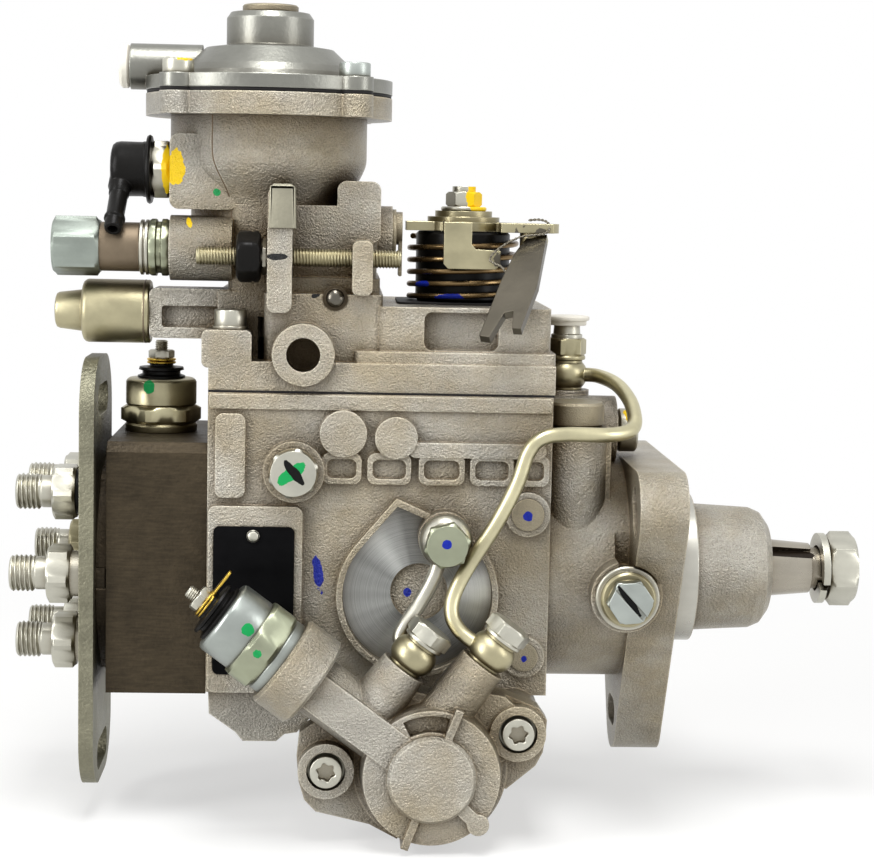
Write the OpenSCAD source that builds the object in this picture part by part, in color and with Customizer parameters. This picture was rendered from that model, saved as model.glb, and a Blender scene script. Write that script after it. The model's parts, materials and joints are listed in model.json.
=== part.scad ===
// Distributor injection pump for a six-cylinder diesel engine.
// The origin is the centre of the mounting flange's front face, on the drive shaft axis.
// +X points out of the drive end, +Z up, and -Y is the side with the timing cover.

/* [Drive end] */
// Diameter of the drive shaft in its bush
shaft_d = 20; // [18:0.5:21]
// Diameter at the small end of the shaft's taper
taper_end_d = 17; // [15:0.5:17.5]
// Length of the taper outside the hub
taper_len = 15; // [13:0.5:20]
// Diameter of the pilot that centres the pump
pilot_d = 50; // [48:0.5:54]
// Length of the pilot
pilot_len = 9; // [6:0.5:12]
// Diameter of the cast hub around the shaft
hub_d = 43; // [38:0.5:46]
// Distance from the flange face to the end of the hub
hub_end = 35.5; // [32:0.5:42]
// Width across the flats of the shaft nut
shaft_nut_af = 22; // [20:0.5:24]
// Height of the shaft nut
shaft_nut_h = 9.5; // [8:0.5:12]
// Width of the empty keyway in the taper
keyway_w = 4; // [3:0.5:6]

/* [Flange] */
// Diameter of the circle through the three mounting slots
flange_pcd = 100; // [96:1:108]
// Thickness of the mounting flange
flange_t = 15.5; // [12:0.5:17]
// Radius of the three flange lobes
lobe_r = 13; // [11:0.5:14]
// Width of a mounting slot
slot_w = 9.5; // [8:0.5:11]
// Overall length of a mounting slot
slot_len = 17; // [14:0.5:20]

/* [Housing] */
// Length of the housing behind the flange face
housing_len = 152; // [150:1:156]
// How far the housing's flat sides stand out over its barrel
barrel_inset = 1; // [0.5:0.5:3]
// Radius of the pump chamber inside the barrel
chamber_r = 31; // [30:0.25:32]
// Half of the housing's depth
box_half = 38; // [36.5:0.5:40]
// Height of the seam under the governor cover
seam_z = 60.5; // [59:0.5:63]
// Distance from the flange face to the governor box
box_right = 42; // [40:1:44]
// Thickness of the cover gasket
gasket_t = 0.8; // [0.5:0.1:1.5]

/* [Distributor head] */
// Length of the distributor head
head_len = 32; // [30:1:36]
// Height of the head's top above the shaft axis
head_top = 44; // [42:0.5:46]
// Depth of the head's bottom below the shaft axis
head_bottom = 37; // [35:0.5:40]
// Diameter of the circle through the six outlets
delivery_pcd = 57; // [54:1:60]
// Diameter of the outlet threads
outlet_d = 12; // [10:0.5:14]
// Width across the flats of a delivery valve holder
holder_af = 17; // [15:0.5:19]
// Thickness of the rear bracket
bracket_t = 4.7; // [4:0.1:6]
// Height of the rear bracket above the shaft axis
bracket_top = 70; // [66:1:76]
// Diameter of the distributor plunger
plunger_d = 12; // [10:0.5:12]

/* [Feed pump and cam drive] */
// Length of the feed pump's vanes and rotor
feed_w = 14; // [10:0.5:16]
// Module of the governor gears
gear_module = 1.5; // [1.4:0.05:1.55]
// Teeth on the gear of the drive shaft
drive_teeth = 38; // [36:1:39]
// Teeth on the gear of the flyweight cage
cage_teeth = 24; // [22:1:26]
// Lift of the cam disc's lobes
cam_lift = 2.2; // [1.6:0.1:2.8]
// Number of outlets, which is also the number of cam lobes
outlets = 6; // [6:1:6]
// Number of rollers in the roller ring
roller_count = 3; // [3:1:3]
// Radius of a cam roller
roller_r = 5; // [4.5:0.1:5.5]

/* [Timing device] */
// Distance from the flange face to the timing piston
timing_x = 80; // [78:0.5:82]
// Depth of the timing piston below the shaft axis
timing_z = 55.5; // [54:0.5:58]
// Diameter of the timing piston
timing_piston_d = 24; // [22:0.5:25]
// Slope of the timing cover's arm above the horizontal
arm_angle = 36.5; // [33:0.5:40]
// Radius of the timing cover's round body
timing_cover_r = 22.8; // [21:0.2:24]
// Radius of the arm's solenoid socket
socket_r = 15.2; // [14.5:0.1:16.5]

/* [Governor cover and throttle] */
// Height of the cover's right block above the seam
cover_rise = 28; // [26:0.5:30]
// Distance from the flange face to the throttle shaft
throttle_x = 70; // [68:0.5:72]
// Diameter of the throttle shaft
throttle_d = 10; // [8:0.5:11]
// Outer diameter of the throttle return spring
throttle_spring_d = 37.5; // [35:0.5:39]
// Wire diameter of the throttle return spring
throttle_wire_d = 2; // [1.6:0.1:2.4]
// Diameter of the long stop screw
stop_screw_d = 6; // [5:0.5:7]
// Height of the stop screw above the shaft axis
stop_screw_z = 103.5; // [102:0.5:105]

/* [Boost compensator] */
// Distance from the flange face to the compensator axis
boost_x = 135; // [133:0.5:137]
// Radius of the compensator flange
boost_flange_r = 40.5; // [38:0.5:42]
// Height of the diaphragm above the shaft axis
diaphragm_z = 155.5; // [153:0.5:158]
// Radius of the compensator bowl
bowl_r = 32; // [30:0.5:33.5]
// Height of the boost cover above the diaphragm
boost_cover_h = 28.5; // [26:0.5:31]
// Radius of the compensator rod
boost_rod_r = 5; // [4:0.25:6]

/* [Fittings] */
// Height of the fuel inlet union above the shaft axis
union_z = 105.5; // [104:0.5:107]
// Height of the idle cylinder above the shaft axis
idle_z = 84.5; // [84:0.5:86]
// Outer diameter of the steel pipes
pipe_d = 4.8; // [4:0.1:6]
// Clearance between a moving piece and its bore
running_gap = 0.04; // [0.02:0.01:0.1]

/* [Hidden] */
$fn = 48;
fit = 0.05;
rear_x = -housing_len;
barrel_r = box_half - barrel_inset;
tower_x = -boost_x;
head_x = rear_x - head_len;
boss_t = 3.5;
bracket_x = head_x - boss_t - bracket_t;
shaft_r = shaft_d / 2;
plunger_r = plunger_d / 2;
lobe_pos_r = flange_pcd / 2;
lobe_angles = [-90, 150, 30];
cover_z = seam_z + gasket_t;
cover_top = seam_z + cover_rise;
gov_z = gear_module * (drive_teeth + cage_teeth) / 2;
gear_w = 6;
gear_x = -54;
feed_x = -18;
coupling_x = gear_x - 12;
ring_x = -timing_x - 8.5;
roller_x = -timing_x - 5.9;
cam_top_x = roller_x - roller_r - 0.1;
cam_t = 8;
cam_back_x = cam_top_x - cam_t;
spool_x = rear_x + 12.5;
spool_l = 10;
barrel_x = rear_x + 10;
spool_ball_z = 9.4;
lever_pivot_x = spool_x + spool_l / 2;
lever_pivot_z = 24;
lever_pad_x = lever_pivot_x + 10.5;
gov_spring_z = 66;
cage_pivot_x = gear_x - 6;
cage_pivot_r = 16;
weight_reach = 24;
axis_z = -timing_z;
piston_r = timing_piston_d / 2;
timing_near_y = -box_half - 12;
timing_far_y = box_half + 12;
bowl_bottom = 96;
boost_flange_z = diaphragm_z - 7.2;
throttle_plate_z = 112.5;
thr_spring_turns = 4.5;
solenoid_x = rear_x - 18;
stop_screw_y = -34;
overflow_at = [-33.6, 7];
overflow_z = 59.5;
cup_at = [-33.3, -22];
short_banjo = [-76, 15.5];
short_banjo_y = -box_half - 6;
banjo_h = 9.6;
adjuster_at = [-17.5, -2.5];
union_y = -20;
idle_y = -15;
elbow_y = -12;
elbow_z = 130.5;
union_x = tower_x - 30.5;
idle_x = tower_x - 37;
elbow_x = tower_x - 30.9;
nub_at = [-20.3, 2.7];

// Colours of the finishes
cast_aluminium = [0.70, 0.67, 0.62];
machined = [0.72, 0.75, 0.80];
zinc = [0.78, 0.80, 0.80];
yellow_zinc = [0.75, 0.72, 0.52];
dark_iron = [0.31, 0.27, 0.23];
bronze = [0.45, 0.33, 0.18];
black = [0.08, 0.08, 0.08];
steel = [0.60, 0.61, 0.63];
brown_steel = [0.50, 0.46, 0.42];
white_plastic = [0.92, 0.92, 0.90];

// A solid cylinder that starts at x and runs along +X
module rod_x(x, r, l, y = 0, z = 0) {
    translate([x, y, z]) rotate([0, 90, 0]) cylinder(r = r, h = l);
}

// A solid cylinder that starts at y and runs along +Y
module rod_y(x, y, z, r, l) {
    translate([x, y, z]) rotate([-90, 0, 0]) cylinder(r = r, h = l);
}

// A cylinder with chamfered ends
module chamfered_rod(r, h, c) {
    rotate_extrude()
        polygon([[0, 0], [r - c, 0], [r, c], [r, h - c], [r - c, h], [0, h]]);
}

// A hexagon head or nut with chamfered corners
module hex_head(af, h) {
    corner_r = af / sqrt(3);
    intersection() {
        cylinder(r = corner_r, h = h, $fn = 6);
        chamfered_rod(corner_r, h, corner_r - af / 2);
    }
}

// A rounded rectangle, centred
module rounded_rect(w, h, r) {
    square([w - 2 * r, h], center = true);
    square([w, h - 2 * r], center = true);
    for (sx = [-1, 1], sy = [-1, 1])
        translate([sx * (w / 2 - r), sy * (h / 2 - r)]) circle(r = r);
}

// A slot outline of overall length l along X
module slot2d(w, l) {
    square([l - w, w], center = true);
    for (s = [-1, 1]) translate([s * (l - w) / 2, 0]) circle(d = w);
}

// A box given by its lowest and highest corners
module span(lo, hi) {
    translate(lo) cube(hi - lo);
}

// A box with rounded edges along Y
module soft_block_y(x0, x1, y0, y1, z0, z1, r) {
    translate([(x0 + x1) / 2, y1, (z0 + z1) / 2]) rotate([90, 0, 0])
        linear_extrude(y1 - y0) rounded_rect(x1 - x0, z1 - z0, r);
}

// A box with rounded edges along Z
module soft_block_z(x0, x1, y0, y1, z0, z1, r) {
    translate([(x0 + x1) / 2, (y0 + y1) / 2, z0])
        linear_extrude(z1 - z0) rounded_rect(x1 - x0, y1 - y0, r);
}

// A cap screw with a hexagon socket, head up, from its seat at the origin
module cap_screw(head_r, head_h, shank_r, shank_l) {
    difference() {
        union() {
            chamfered_rod(head_r, head_h, 0.4);
            translate([0, 0, -shank_l]) cylinder(r = shank_r, h = shank_l + 0.1);
        }
        translate([0, 0, head_h / 2]) cylinder(r = head_r * 0.52, h = head_h, $fn = 6);
    }
}

// A coil around Z from height 0, with round wire
module coil(coil_r, wire_r, pitch, turns, steps = 16, sides = 6) {
    count = turns * steps;
    points = [for (i = [0 : count], k = [0 : sides - 1])
        let (a = 360 * i / steps, t = 360 * k / sides, d = coil_r + wire_r * cos(t))
        [d * cos(a), d * sin(a), pitch * i / steps + wire_r * sin(t)]];
    skin = [for (i = [0 : count - 1], k = [0 : sides - 1])
        let (n = (k + 1) % sides)
        [i * sides + k, i * sides + n, (i + 1) * sides + n, (i + 1) * sides + k]];
    near_cap = [[for (k = [sides - 1 : -1 : 0]) k]];
    far_cap = [[for (k = [0 : sides - 1]) count * sides + k]];
    polyhedron(points, concat(near_cap, skin, far_cap));
}

// A point on the smooth curve through four route points
function curve(a, b, c, d, t) =
    0.5 * ((2 * b) + (c - a) * t + (2 * a - 5 * b + 4 * c - d) * t * t
    + (3 * b - a - 3 * c + d) * t * t * t);
function unit(v) = v / norm(v);

// The points of a smooth route, with a few steps between each pair of points
function smooth_route(p, steps) =
    let (n = len(p))
    concat([for (i = [0 : n - 2], s = [0 : steps - 1])
        curve(p[max(i - 1, 0)], p[i], p[i + 1], p[min(i + 2, n - 1)], s / steps)], [p[n - 1]]);

// A round pipe along a route that lies mostly in the XZ plane
module pipe_along(route, r, sides = 10) {
    n = len(route);
    rings = [for (i = [0 : n - 1])
        let (t = unit(route[min(i + 1, n - 1)] - route[max(i - 1, 0)]),
             side = unit(cross(t, [0, 1, 0])), up = cross(side, t))
        for (k = [0 : sides - 1])
            route[i] + r * (cos(360 * k / sides) * side + sin(360 * k / sides) * up)];
    skin = [for (i = [0 : n - 2], k = [0 : sides - 1])
        let (m = (k + 1) % sides)
        [i * sides + k, i * sides + m, (i + 1) * sides + m, (i + 1) * sides + k]];
    near_cap = [[for (k = [sides - 1 : -1 : 0]) k]];
    far_cap = [[for (k = [0 : sides - 1]) (n - 1) * sides + k]];
    polyhedron(rings, concat(near_cap, skin, far_cap));
}

// Places its children at the timing cover's centre: local X along the arm, local Z toward the near side
module timing_frame() {
    translate([-timing_x, 0, axis_z]) rotate([90, 0, 0]) rotate([0, 0, 180 - arm_angle]) children();
}

// A spur gear's outline
module gear2d(teeth) {
    pitch_r = gear_module * teeth / 2;
    root_r = pitch_r - 1.25 * gear_module;
    tip_r = pitch_r + 0.95 * gear_module;
    step = 360 / teeth;
    polygon([for (i = [0 : teeth - 1], p = [[root_r, -0.29], [pitch_r, -0.215], [tip_r, -0.105],
        [tip_r, 0.105], [pitch_r, 0.215], [root_r, 0.29]])
        p[0] * [cos((i + p[1]) * step), sin((i + p[1]) * step)]]);
}

// The flange outline: three lobes joined by straight tangents, looking along +X
module flange2d() {
    r = lobe_pos_r;
    polygon([for (a = lobe_angles, s = [1, -1])
        let (dir = a + s * 60)
        [r * cos(a) + lobe_r * cos(dir), r * sin(a) + lobe_r * sin(dir)]]);
    for (a = lobe_angles) translate([r * cos(a), r * sin(a)]) circle(r = lobe_r);
}

// Turns a YZ outline into a solid that starts at x and runs along +X
module extrude_x(x, l) {
    translate([x, 0, 0]) rotate([90, 0, 90]) linear_extrude(l) children();
}

// The three mounting slots
module flange_slots(x, l) {
    extrude_x(x, l)
        for (a = lobe_angles) rotate(a) translate([lobe_pos_r, 0]) rotate(90) slot2d(slot_w, slot_len);
}

// Outline of the machined recess on the near side, with its point at the upper left
module recess2d(r, point) {
    translate([-84.4, -4]) circle(r = r);
    polygon([[-84, 0], [-84.4 - r * 0.76, -4 + r * 0.65], point, [-84.4 + r * 0.4, -4 + r * 0.916]]);
}

// Extrudes an XZ outline from y0 to y1
module extrude_y(y0, y1) {
    translate([0, y1, 0]) rotate([90, 0, 0]) linear_extrude(y1 - y0) children();
}

// The row of cast pockets under the near side's rib: left and right edge of each
pocket_row = [[-114, -104.6], [-99.5, -88.8], [-83.1, -71.7], [-66.7, -56], [-51, -44.6]];

// The near side's recess rim, flat bosses, pads and ribs
module near_side_bosses() {
    extrude_y(-box_half - 3, -box_half + 8) recess2d(26, [-91.6, 27.8]);
    rod_y(-108.9, -box_half - 2.5, 48.1, 7.5, 12);
    rod_y(-92.1, -box_half - 2.5, 47, 6.8, 12);
    rod_y(-124.5, -box_half - 3.5, 35.8, 9.8, 12);
    rod_y(-49.5, -box_half - 2.5, 23, 7.2, 14);
    rod_y(-49.7, -box_half - 1, -23.7, 6.8, 16);
    soft_block_y(rear_x + 0.5, rear_x + 30.5, -box_half - 2.5, -box_half + 6, -36, 24.5, 2.5);
    soft_block_y(rear_x + 2.5, rear_x + 12, -box_half - 1.6, -box_half + 6, 27, 54, 2.5);
    soft_block_y(rear_x + 0.4, -box_right - 0.4, -box_half - 1, -box_half + 6, seam_z - 5, seam_z - 0.3, 1);
    soft_block_y(-88, -box_right - 2, -box_half - 2, -box_half + 6, 40.8, 45.6, 2.2);
    for (p = pocket_row)
        soft_block_y(p[0] - 1.6, p[1] + 1.6, -box_half - 1.8, -box_half + 4, 32, 42, 2.6);
}

// The raised wall that stands around the adjuster on the near side
module adjuster_boss() {
    rod_y(adjuster_at[0], -45, adjuster_at[1], 11.5, 22);
}

module pump_housing() {
    upper_x = -box_right;
    color(cast_aluminium) difference() {
        union() {
            extrude_x(-flange_t, flange_t) flange2d();
            rod_x(-1, pilot_d / 2, pilot_len + 1);
            translate([pilot_len - 1, 0, 0]) rotate([0, 90, 0]) rotate_extrude()
                polygon([[0, 0], [hub_d / 2, 0], [hub_d / 2, 3], [hub_d / 2 - 1, hub_end - pilot_len - 5],
                    [hub_d / 2 - 2.5, hub_end - pilot_len - 1.5], [hub_d / 2 - 6, hub_end - pilot_len + 1],
                    [0, hub_end - pilot_len + 1]]);
            rod_x(rear_x, barrel_r, housing_len - 1);
            span([rear_x, -box_half, -barrel_r + 0.5], [-box_right, box_half, seam_z]);
            span([-box_right - 1, -26, 0], [-flange_t - 6, 26, 46]);
            rod_x(-box_right - 1, 11.5, box_right - 16.5, 0, gov_z);
            translate([cup_at[0], cup_at[1], 0]) cylinder(r = 11, h = 50);
            translate([overflow_at[0], overflow_at[1], 0]) cylinder(r = 8, h = overflow_z - fit);
            for (p = ear_xz) {
                rod_y(p[0], timing_near_y + fit, p[1], ear_r, 22);
                translate([-timing_x, -28, axis_z]) rotate([90, 0, 0]) rotate(atan2(p[1] - axis_z,
                    p[0] + timing_x))
                    translate([0, -7, 0]) cube([norm([p[0] + timing_x, p[1] - axis_z])
                        - 5, 14, -29 - timing_near_y]);
            }
            for (s = [-1, 1]) {
                rod_y(-timing_x + s * far_ear, 30, axis_z, 7, timing_far_y - 30);
                span([-timing_x + min(0, s * far_ear), 32, axis_z - 6],
                    [-timing_x + max(0, s * far_ear), timing_far_y, axis_z + 6]);
                span([-timing_x + s * far_ear - 6, 30, axis_z], [-timing_x + s * far_ear + 6, 38, 0]);
            }
            soft_block_y(-99, -61, -box_half + 2, box_half - 2, axis_z, 0, 6);
            rod_y(-timing_x, timing_near_y, axis_z, piston_r + 7, timing_far_y - timing_near_y);
            translate([0, -8, 0]) rotate([90, 0, 0]) linear_extrude(28)
                polygon([[rear_x + 0.5, -30], [rear_x + 1, -44], [rear_x + 9.5, -50], [rear_x + 12, -53],
                    [rear_x + 22.8, -53], [rear_x + 25.5, -50.6], [rear_x + 29.5, -50], [rear_x + 42, -36],
                    [rear_x + 42, -30]]);
            near_side_bosses();
            adjuster_boss();
        }
        rod_x(rear_x - 1, chamber_r, housing_len + feed_x + 1);
        rod_x(feed_x - 1, shaft_r + 2, hub_end - feed_x - 8);
        rod_x(hub_end - 10, shaft_r + 4, 12);
        span([rear_x + 6, -26, 0], [-46, 26, seam_z + 1]);
        rod_x(-50, 6.1, 60, 0, gov_z);
        rod_y(-timing_x, timing_near_y - 1, axis_z, piston_r + running_gap,
            timing_far_y - timing_near_y + 2);
        span([-timing_x - 4.5, -9, axis_z], [-timing_x + 4.5, 19, -chamber_r + 4]);
        extrude_y(-box_half - 4, -box_half + 1) recess2d(24.1, [-91.3, 25.2]);
        rod_y(-83.8, -box_half - 4, -3, 9.2, 6.2);
        for (p = pocket_row)
            soft_block_y(p[0], p[1], -box_half - 3, -box_half - 0.2, 33.8, 40, 2);
        translate([cup_at[0], cup_at[1], 50]) cylinder(r = 9.8, h = 20);
        rod_y(adjuster_at[0], -62, adjuster_at[1], 10.9, 17);
        rod_y(lever_pivot_x, -31, lever_pivot_z, 2.5 + fit, 62);
        flange_slots(-flange_t - 1, flange_t + 2);
        span([-flange_t - 5, -60, 6], [-flange_t, -barrel_r + 4, 37]);
        rod_y(adjuster_at[0], -46, adjuster_at[1], 4 + fit, 10);
        rod_y(short_banjo[0], short_banjo_y - 16, short_banjo[1], 4 + fit, 23);
        for (p = ear_xz) rod_y(p[0], timing_near_y - 1, p[1], 3 + fit, 14);
        for (s = [-1, 1]) rod_y(-timing_x + s * far_ear, timing_far_y - 9, axis_z, 3 + fit, 10);
        translate([overflow_at[0], overflow_at[1], overflow_z - 9]) cylinder(r = 4 + fit, h = 10);
    }
    color(cast_aluminium) difference() {
        rod_y(short_banjo[0], short_banjo_y + fit, short_banjo[1], 8.6, 7.5);
        rod_y(short_banjo[0], short_banjo_y - 1, short_banjo[1], 4 + fit, 10);
    }
}

module shaft_bearings() {
    color(bronze) difference() {
        rod_x(feed_x, shaft_r + 2 - fit / 2, hub_end - feed_x - 10.5);
        rod_x(feed_x - 1, shaft_r + running_gap, hub_end - feed_x);
    }
    color(black) difference() {
        rod_x(hub_end - 9.5, shaft_r + 4 - fit / 2, 7);
        rod_x(hub_end - 10, shaft_r + running_gap, 10);
    }
}

module drive_shaft() {
    thread_r = taper_end_d / 2 - 1.5;
    thread_l = 3.5 + shaft_nut_h;
    color(steel) difference() {
        union() {
            rod_x(coupling_x + 8, shaft_r, hub_end - coupling_x - 8);
            translate([hub_end, 0, 0]) rotate([0, 90, 0])
                cylinder(r1 = shaft_r - 0.2, r2 = taper_end_d / 2, h = taper_len);
            rod_x(hub_end + taper_len - 0.5, thread_r, thread_l + 2);
            rod_x(coupling_x + 8, 19, 3);
            intersection() {
                rod_x(coupling_x, 19, 9);
                for (s = [-1, 1]) span([coupling_x, s * 14.5 - 4.5, -6], [coupling_x + 9,
                    s * 14.5 + 4.5, 6]);
            }
        }
        rotate([45, 0, 0]) span([hub_end + 0.5, -keyway_w / 2, shaft_r - 3.2],
            [hub_end + taper_len + 1, keyway_w / 2, shaft_r + 2]);
    }
}

module shaft_nut() {
    nut_x = hub_end + taper_len + 6;
    thread_r = taper_end_d / 2 - 1.5;
    color(zinc) difference() {
        translate([nut_x, 0, 0]) rotate([0, 90, 0]) hex_head(shaft_nut_af, shaft_nut_h);
        rod_x(nut_x - 1, thread_r + fit, shaft_nut_h + 2);
    }
    color(zinc) difference() {
        rod_x(nut_x - 3.6, 12, 3.5);
        rod_x(nut_x - 4, thread_r + fit, 5);
        rotate([-60, 0, 0]) span([nut_x - 4, -0.7, 0], [nut_x, 0.7, 14]);
    }
}

module feed_pump_ring() {
    color(steel) difference() {
        rod_x(feed_x - feed_w, chamber_r - fit, feed_w - fit);
        rod_x(feed_x - feed_w - 1, 24, feed_w + 2, 0, 1.6);
    }
    color(steel) difference() {
        rod_x(feed_x - feed_w - 4.2, chamber_r - fit, 4);
        rod_x(feed_x - feed_w - 5, shaft_r + 0.3, 6);
        for (a = [60, 240]) rotate([a, 0, 0]) rod_x(feed_x - feed_w - 5, 3, 6, 0, 18);
    }
}

module feed_pump_rotor() {
    rotor_r = 21.5;
    w = feed_w - 0.3;
    x0 = feed_x - feed_w + 0.1;
    color(steel) difference() {
        rod_x(x0, rotor_r, w);
        rod_x(x0 - 1, shaft_r + fit, w + 2);
        for (a = [45 : 90 : 315]) rotate([a, 0, 0]) span([x0 - 1, -1.55, shaft_r + 3], [x0 + w + 1,
            1.55, 30]);
    }
    color(dark_iron) for (a = [45 : 90 : 315])
        rotate([a, 0, 0]) span([x0, -1.5, shaft_r + 4], [x0 + w, 1.5, rotor_r + 0.6]);
}

module drive_gear() {
    color(steel) difference() {
        rotate([180 / drive_teeth, 0, 0]) extrude_x(gear_x, gear_w)
            rotate(90) gear2d(drive_teeth);
        rod_x(gear_x - 1, shaft_r + fit, gear_w + 2);
        for (a = [0 : 60 : 300]) rotate([a, 0, 0]) rod_x(gear_x - 1, 4, gear_w + 2, 0, 18);
    }
}

module coupling_cross() {
    color(steel) difference() {
        rod_x(coupling_x, 18.8, 6);
        rod_x(coupling_x - 1, 3, 8);
        for (a = [0 : 90 : 270]) rotate([a, 0, 0])
            span([coupling_x - 1, 9.8, -6 - fit], [coupling_x + 7, 20, 6 + fit]);
    }
}

module cam_disc() {
    face_x = cam_top_x - cam_lift;
    lobe_curve_r = 12;
    color(steel) difference() {
        union() {
            rod_x(cam_back_x, 29, cam_t - cam_lift);
            intersection() {
                for (i = [0 : outlets - 1]) rotate([i * 360 / outlets, 0, 0])
                    translate([cam_top_x - lobe_curve_r, 0, 15]) cylinder(r = lobe_curve_r, h = 15);
                difference() {
                    rod_x(cam_back_x + 1, 29, cam_t);
                    rod_x(cam_back_x, 20.5, cam_t + 2);
                }
            }
            intersection() {
                rod_x(face_x - 1, 18.8, coupling_x + 6 - face_x);
                for (s = [-1, 1])
                    span([face_x - 1, -5.9, s * 14.4 - 4.4], [coupling_x + 5, 5.9, s * 14.4 + 4.4]);
            }
        }
        rod_x(cam_back_x - 1, 4.5 + fit, cam_t);
    }
}

module distributor_plunger() {
    color(steel) difference() {
        union() {
            rod_x(rear_x - head_len + 4, plunger_r, cam_back_x - 0.1 - rear_x + head_len - 4);
            rod_x(cam_back_x - 2.1, 9, 2);
            rod_x(cam_back_x - 0.2, 4.5, 5);
        }
        rod_x(rear_x - head_len + 3, 1.2, 44);
        rotate([90, 0, 0]) translate([lever_pivot_x, 0, -8]) cylinder(r = 1.5, h = 16);
    }
}

module distributor_barrel() {
    color(steel) difference() {
        rod_x(head_x + 2, 11 - fit, barrel_x - head_x - 2);
        rod_x(head_x, plunger_r + running_gap, head_len + 20);
        for (i = [0 : outlets - 1]) rotate([i * 60 + 90, 0, 0])
            translate([head_x + 14, 0, 5]) cylinder(r = 1.2, h = 8);
    }
}

module plunger_springs() {
    bridge_x = cam_back_x - 7.5;
    color(bronze) for (s = [-1, 1])
        translate([bridge_x - 1.2, s * 19, 0]) rotate([0, -90, 0])
            coil(5, 1.1, (bridge_x - rear_x - 6.6) / 7, 7, 14, 6);
    color(steel) difference() {
        soft_block_z(bridge_x, bridge_x + 4, -26, 26, -7, 7, 1.5);
        rod_x(bridge_x - 1, plunger_r + 0.3, 6);
    }
}

module control_spool() {
    color(steel) difference() {
        rod_x(spool_x, 10, spool_l);
        rod_x(spool_x - 1, plunger_r + running_gap, spool_l + 2);
        translate([lever_pivot_x, 0, 5]) cylinder(r = 3.1, h = 7);
    }
}

module roller_ring() {
    ring_l = 14;
    color(steel) difference() {
        rod_x(ring_x, chamber_r - running_gap, ring_l);
        rod_x(ring_x - 1, 20.4, ring_l + 2);
        for (i = [0 : roller_count - 1]) rotate([i * 120 + 90, 0, 0])
            translate([roller_x, 0, 21]) cylinder(r = roller_r + 0.1, h = 8.6);
        translate([-timing_x, 0, -32]) cylinder(r = 3.5 + fit, h = 6);
    }
    color(steel) translate([-timing_x, 0, axis_z - 4]) cylinder(r = 3.5, h = timing_z - 22.5);
}

module cam_roller(i) {
    color(steel) rotate([i * 120 + 90, 0, 0])
        translate([roller_x, 0, 21.2]) chamfered_rod(roller_r, 8.2, 0.5);
}
module cam_roller_1() cam_roller(0);
module cam_roller_2() cam_roller(1);
module cam_roller_3() cam_roller(2);

module governor_shaft() {
    color(steel) rod_x(cage_pivot_x, 6, -11 - cage_pivot_x, 0, gov_z);
    color(steel) rod_x(lever_pad_x + 14, 5, cage_pivot_x - lever_pad_x - 13.9, 0, gov_z);
    color(zinc) difference() {
        translate([-16.4, 0, gov_z]) rotate([0, 90, 0]) chamfered_rod(7.3, 6.4, 0.6);
        rod_x(-17, 6 + fit, 8, 0, gov_z);
    }
}

module flyweight_cage() {
    cage_r = 18;
    cage_l = 18;
    color(steel) difference() {
        union() {
            translate([0, 0, gov_z]) extrude_x(gear_x, gear_w) rotate(-90) gear2d(cage_teeth);
            rod_x(gear_x - 3.5, cage_r, 3.4, 0, gov_z);
            rod_x(gear_x - 3.5, 16, 4, 0, gov_z);
            difference() {
                rod_x(gear_x - cage_l, cage_r, cage_l - 0.1, 0, gov_z);
                rod_x(gear_x - cage_l - 1, cage_r - 2.5, cage_l + 1, 0, gov_z);
                translate([0, 0, gov_z]) for (a = [0 : 90 : 270]) rotate([a, 0, 0])
                    span([gear_x - cage_l - 1, -7.8, 5], [gear_x - 3.5, 7.8, 20]);
            }
        }
        rod_x(gear_x - cage_l, 6 + running_gap, cage_l + gear_w + 1, 0, gov_z);
    }
}

// A flyweight: its mass hangs beyond the pivot and its finger pushes the sleeve
module flyweight(i) {
    color(steel) translate([cage_pivot_x, 0, gov_z]) rotate([i * 90, 0, 0]) {
        span([-11.5, -6.5, 10.2], [-2, 6.5, 17.6]);
        span([-2.5, -6.5, 14.2], [1, 6.5, 17.6]);
        span([-1, -3, 8], [1, 3, 15]);
        rod_y(0, -7.7, cage_pivot_r, 1.2, 15.4);
    }
}
module flyweight_1() flyweight(0);
module flyweight_2() flyweight(1);
module flyweight_3() flyweight(2);
module flyweight_4() flyweight(3);

module sliding_sleeve() {
    flange_x = cage_pivot_x - 1.1;
    color(steel) translate([0, 0, gov_z]) difference() {
        union() {
            rod_x(flange_x - 3, 9.5, 3);
            rod_x(lever_pad_x + 6, 7.5, flange_x - lever_pad_x - 7);
            translate([lever_pad_x + 0.1, 0, 0]) rotate([0, 90, 0]) cylinder(r1 = 2, r2 = 7.5, h = 6);
        }
        rod_x(lever_pad_x + 9, 5 + running_gap, 60);
    }
}

module governor_lever() {
    plate_y = 14;
    color(steel) difference() {
        union() {
            translate([0, plate_y / 2, 0]) rotate([90, 0, 0]) linear_extrude(plate_y)
                polygon([[lever_pivot_x - 2, 14], [lever_pivot_x + 2, 14], [lever_pivot_x + 3.5, 24],
                    [lever_pad_x, 36], [lever_pad_x, 70], [lever_pad_x - 3, 70], [lever_pad_x - 3, 37],
                    [lever_pivot_x - 3.5, 26]]);
            rod_y(lever_pivot_x, -29.5, lever_pivot_z, 2.5, 59);
            rod_y(lever_pivot_x, -10, lever_pivot_z, 4.5, 20);
            translate([lever_pivot_x, 0, spool_ball_z + 1]) cylinder(r = 2, h = 8);
            translate([lever_pivot_x, 0, spool_ball_z]) sphere(r = 2.9);
        }
        translate([0, 0, gov_spring_z]) rod_x(lever_pad_x - 4, 1.2, 6);
    }
}

module governor_spring() {
    spring_end = -throttle_x - 10;
    spring_l = spring_end - lever_pad_x - 1.6;
    color(bronze) translate([lever_pad_x + 0.9, 0, gov_spring_z]) rotate([0, 90, 0])
        coil(4.5, 0.7, spring_l / 10, 10, 12, 6);
}

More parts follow.
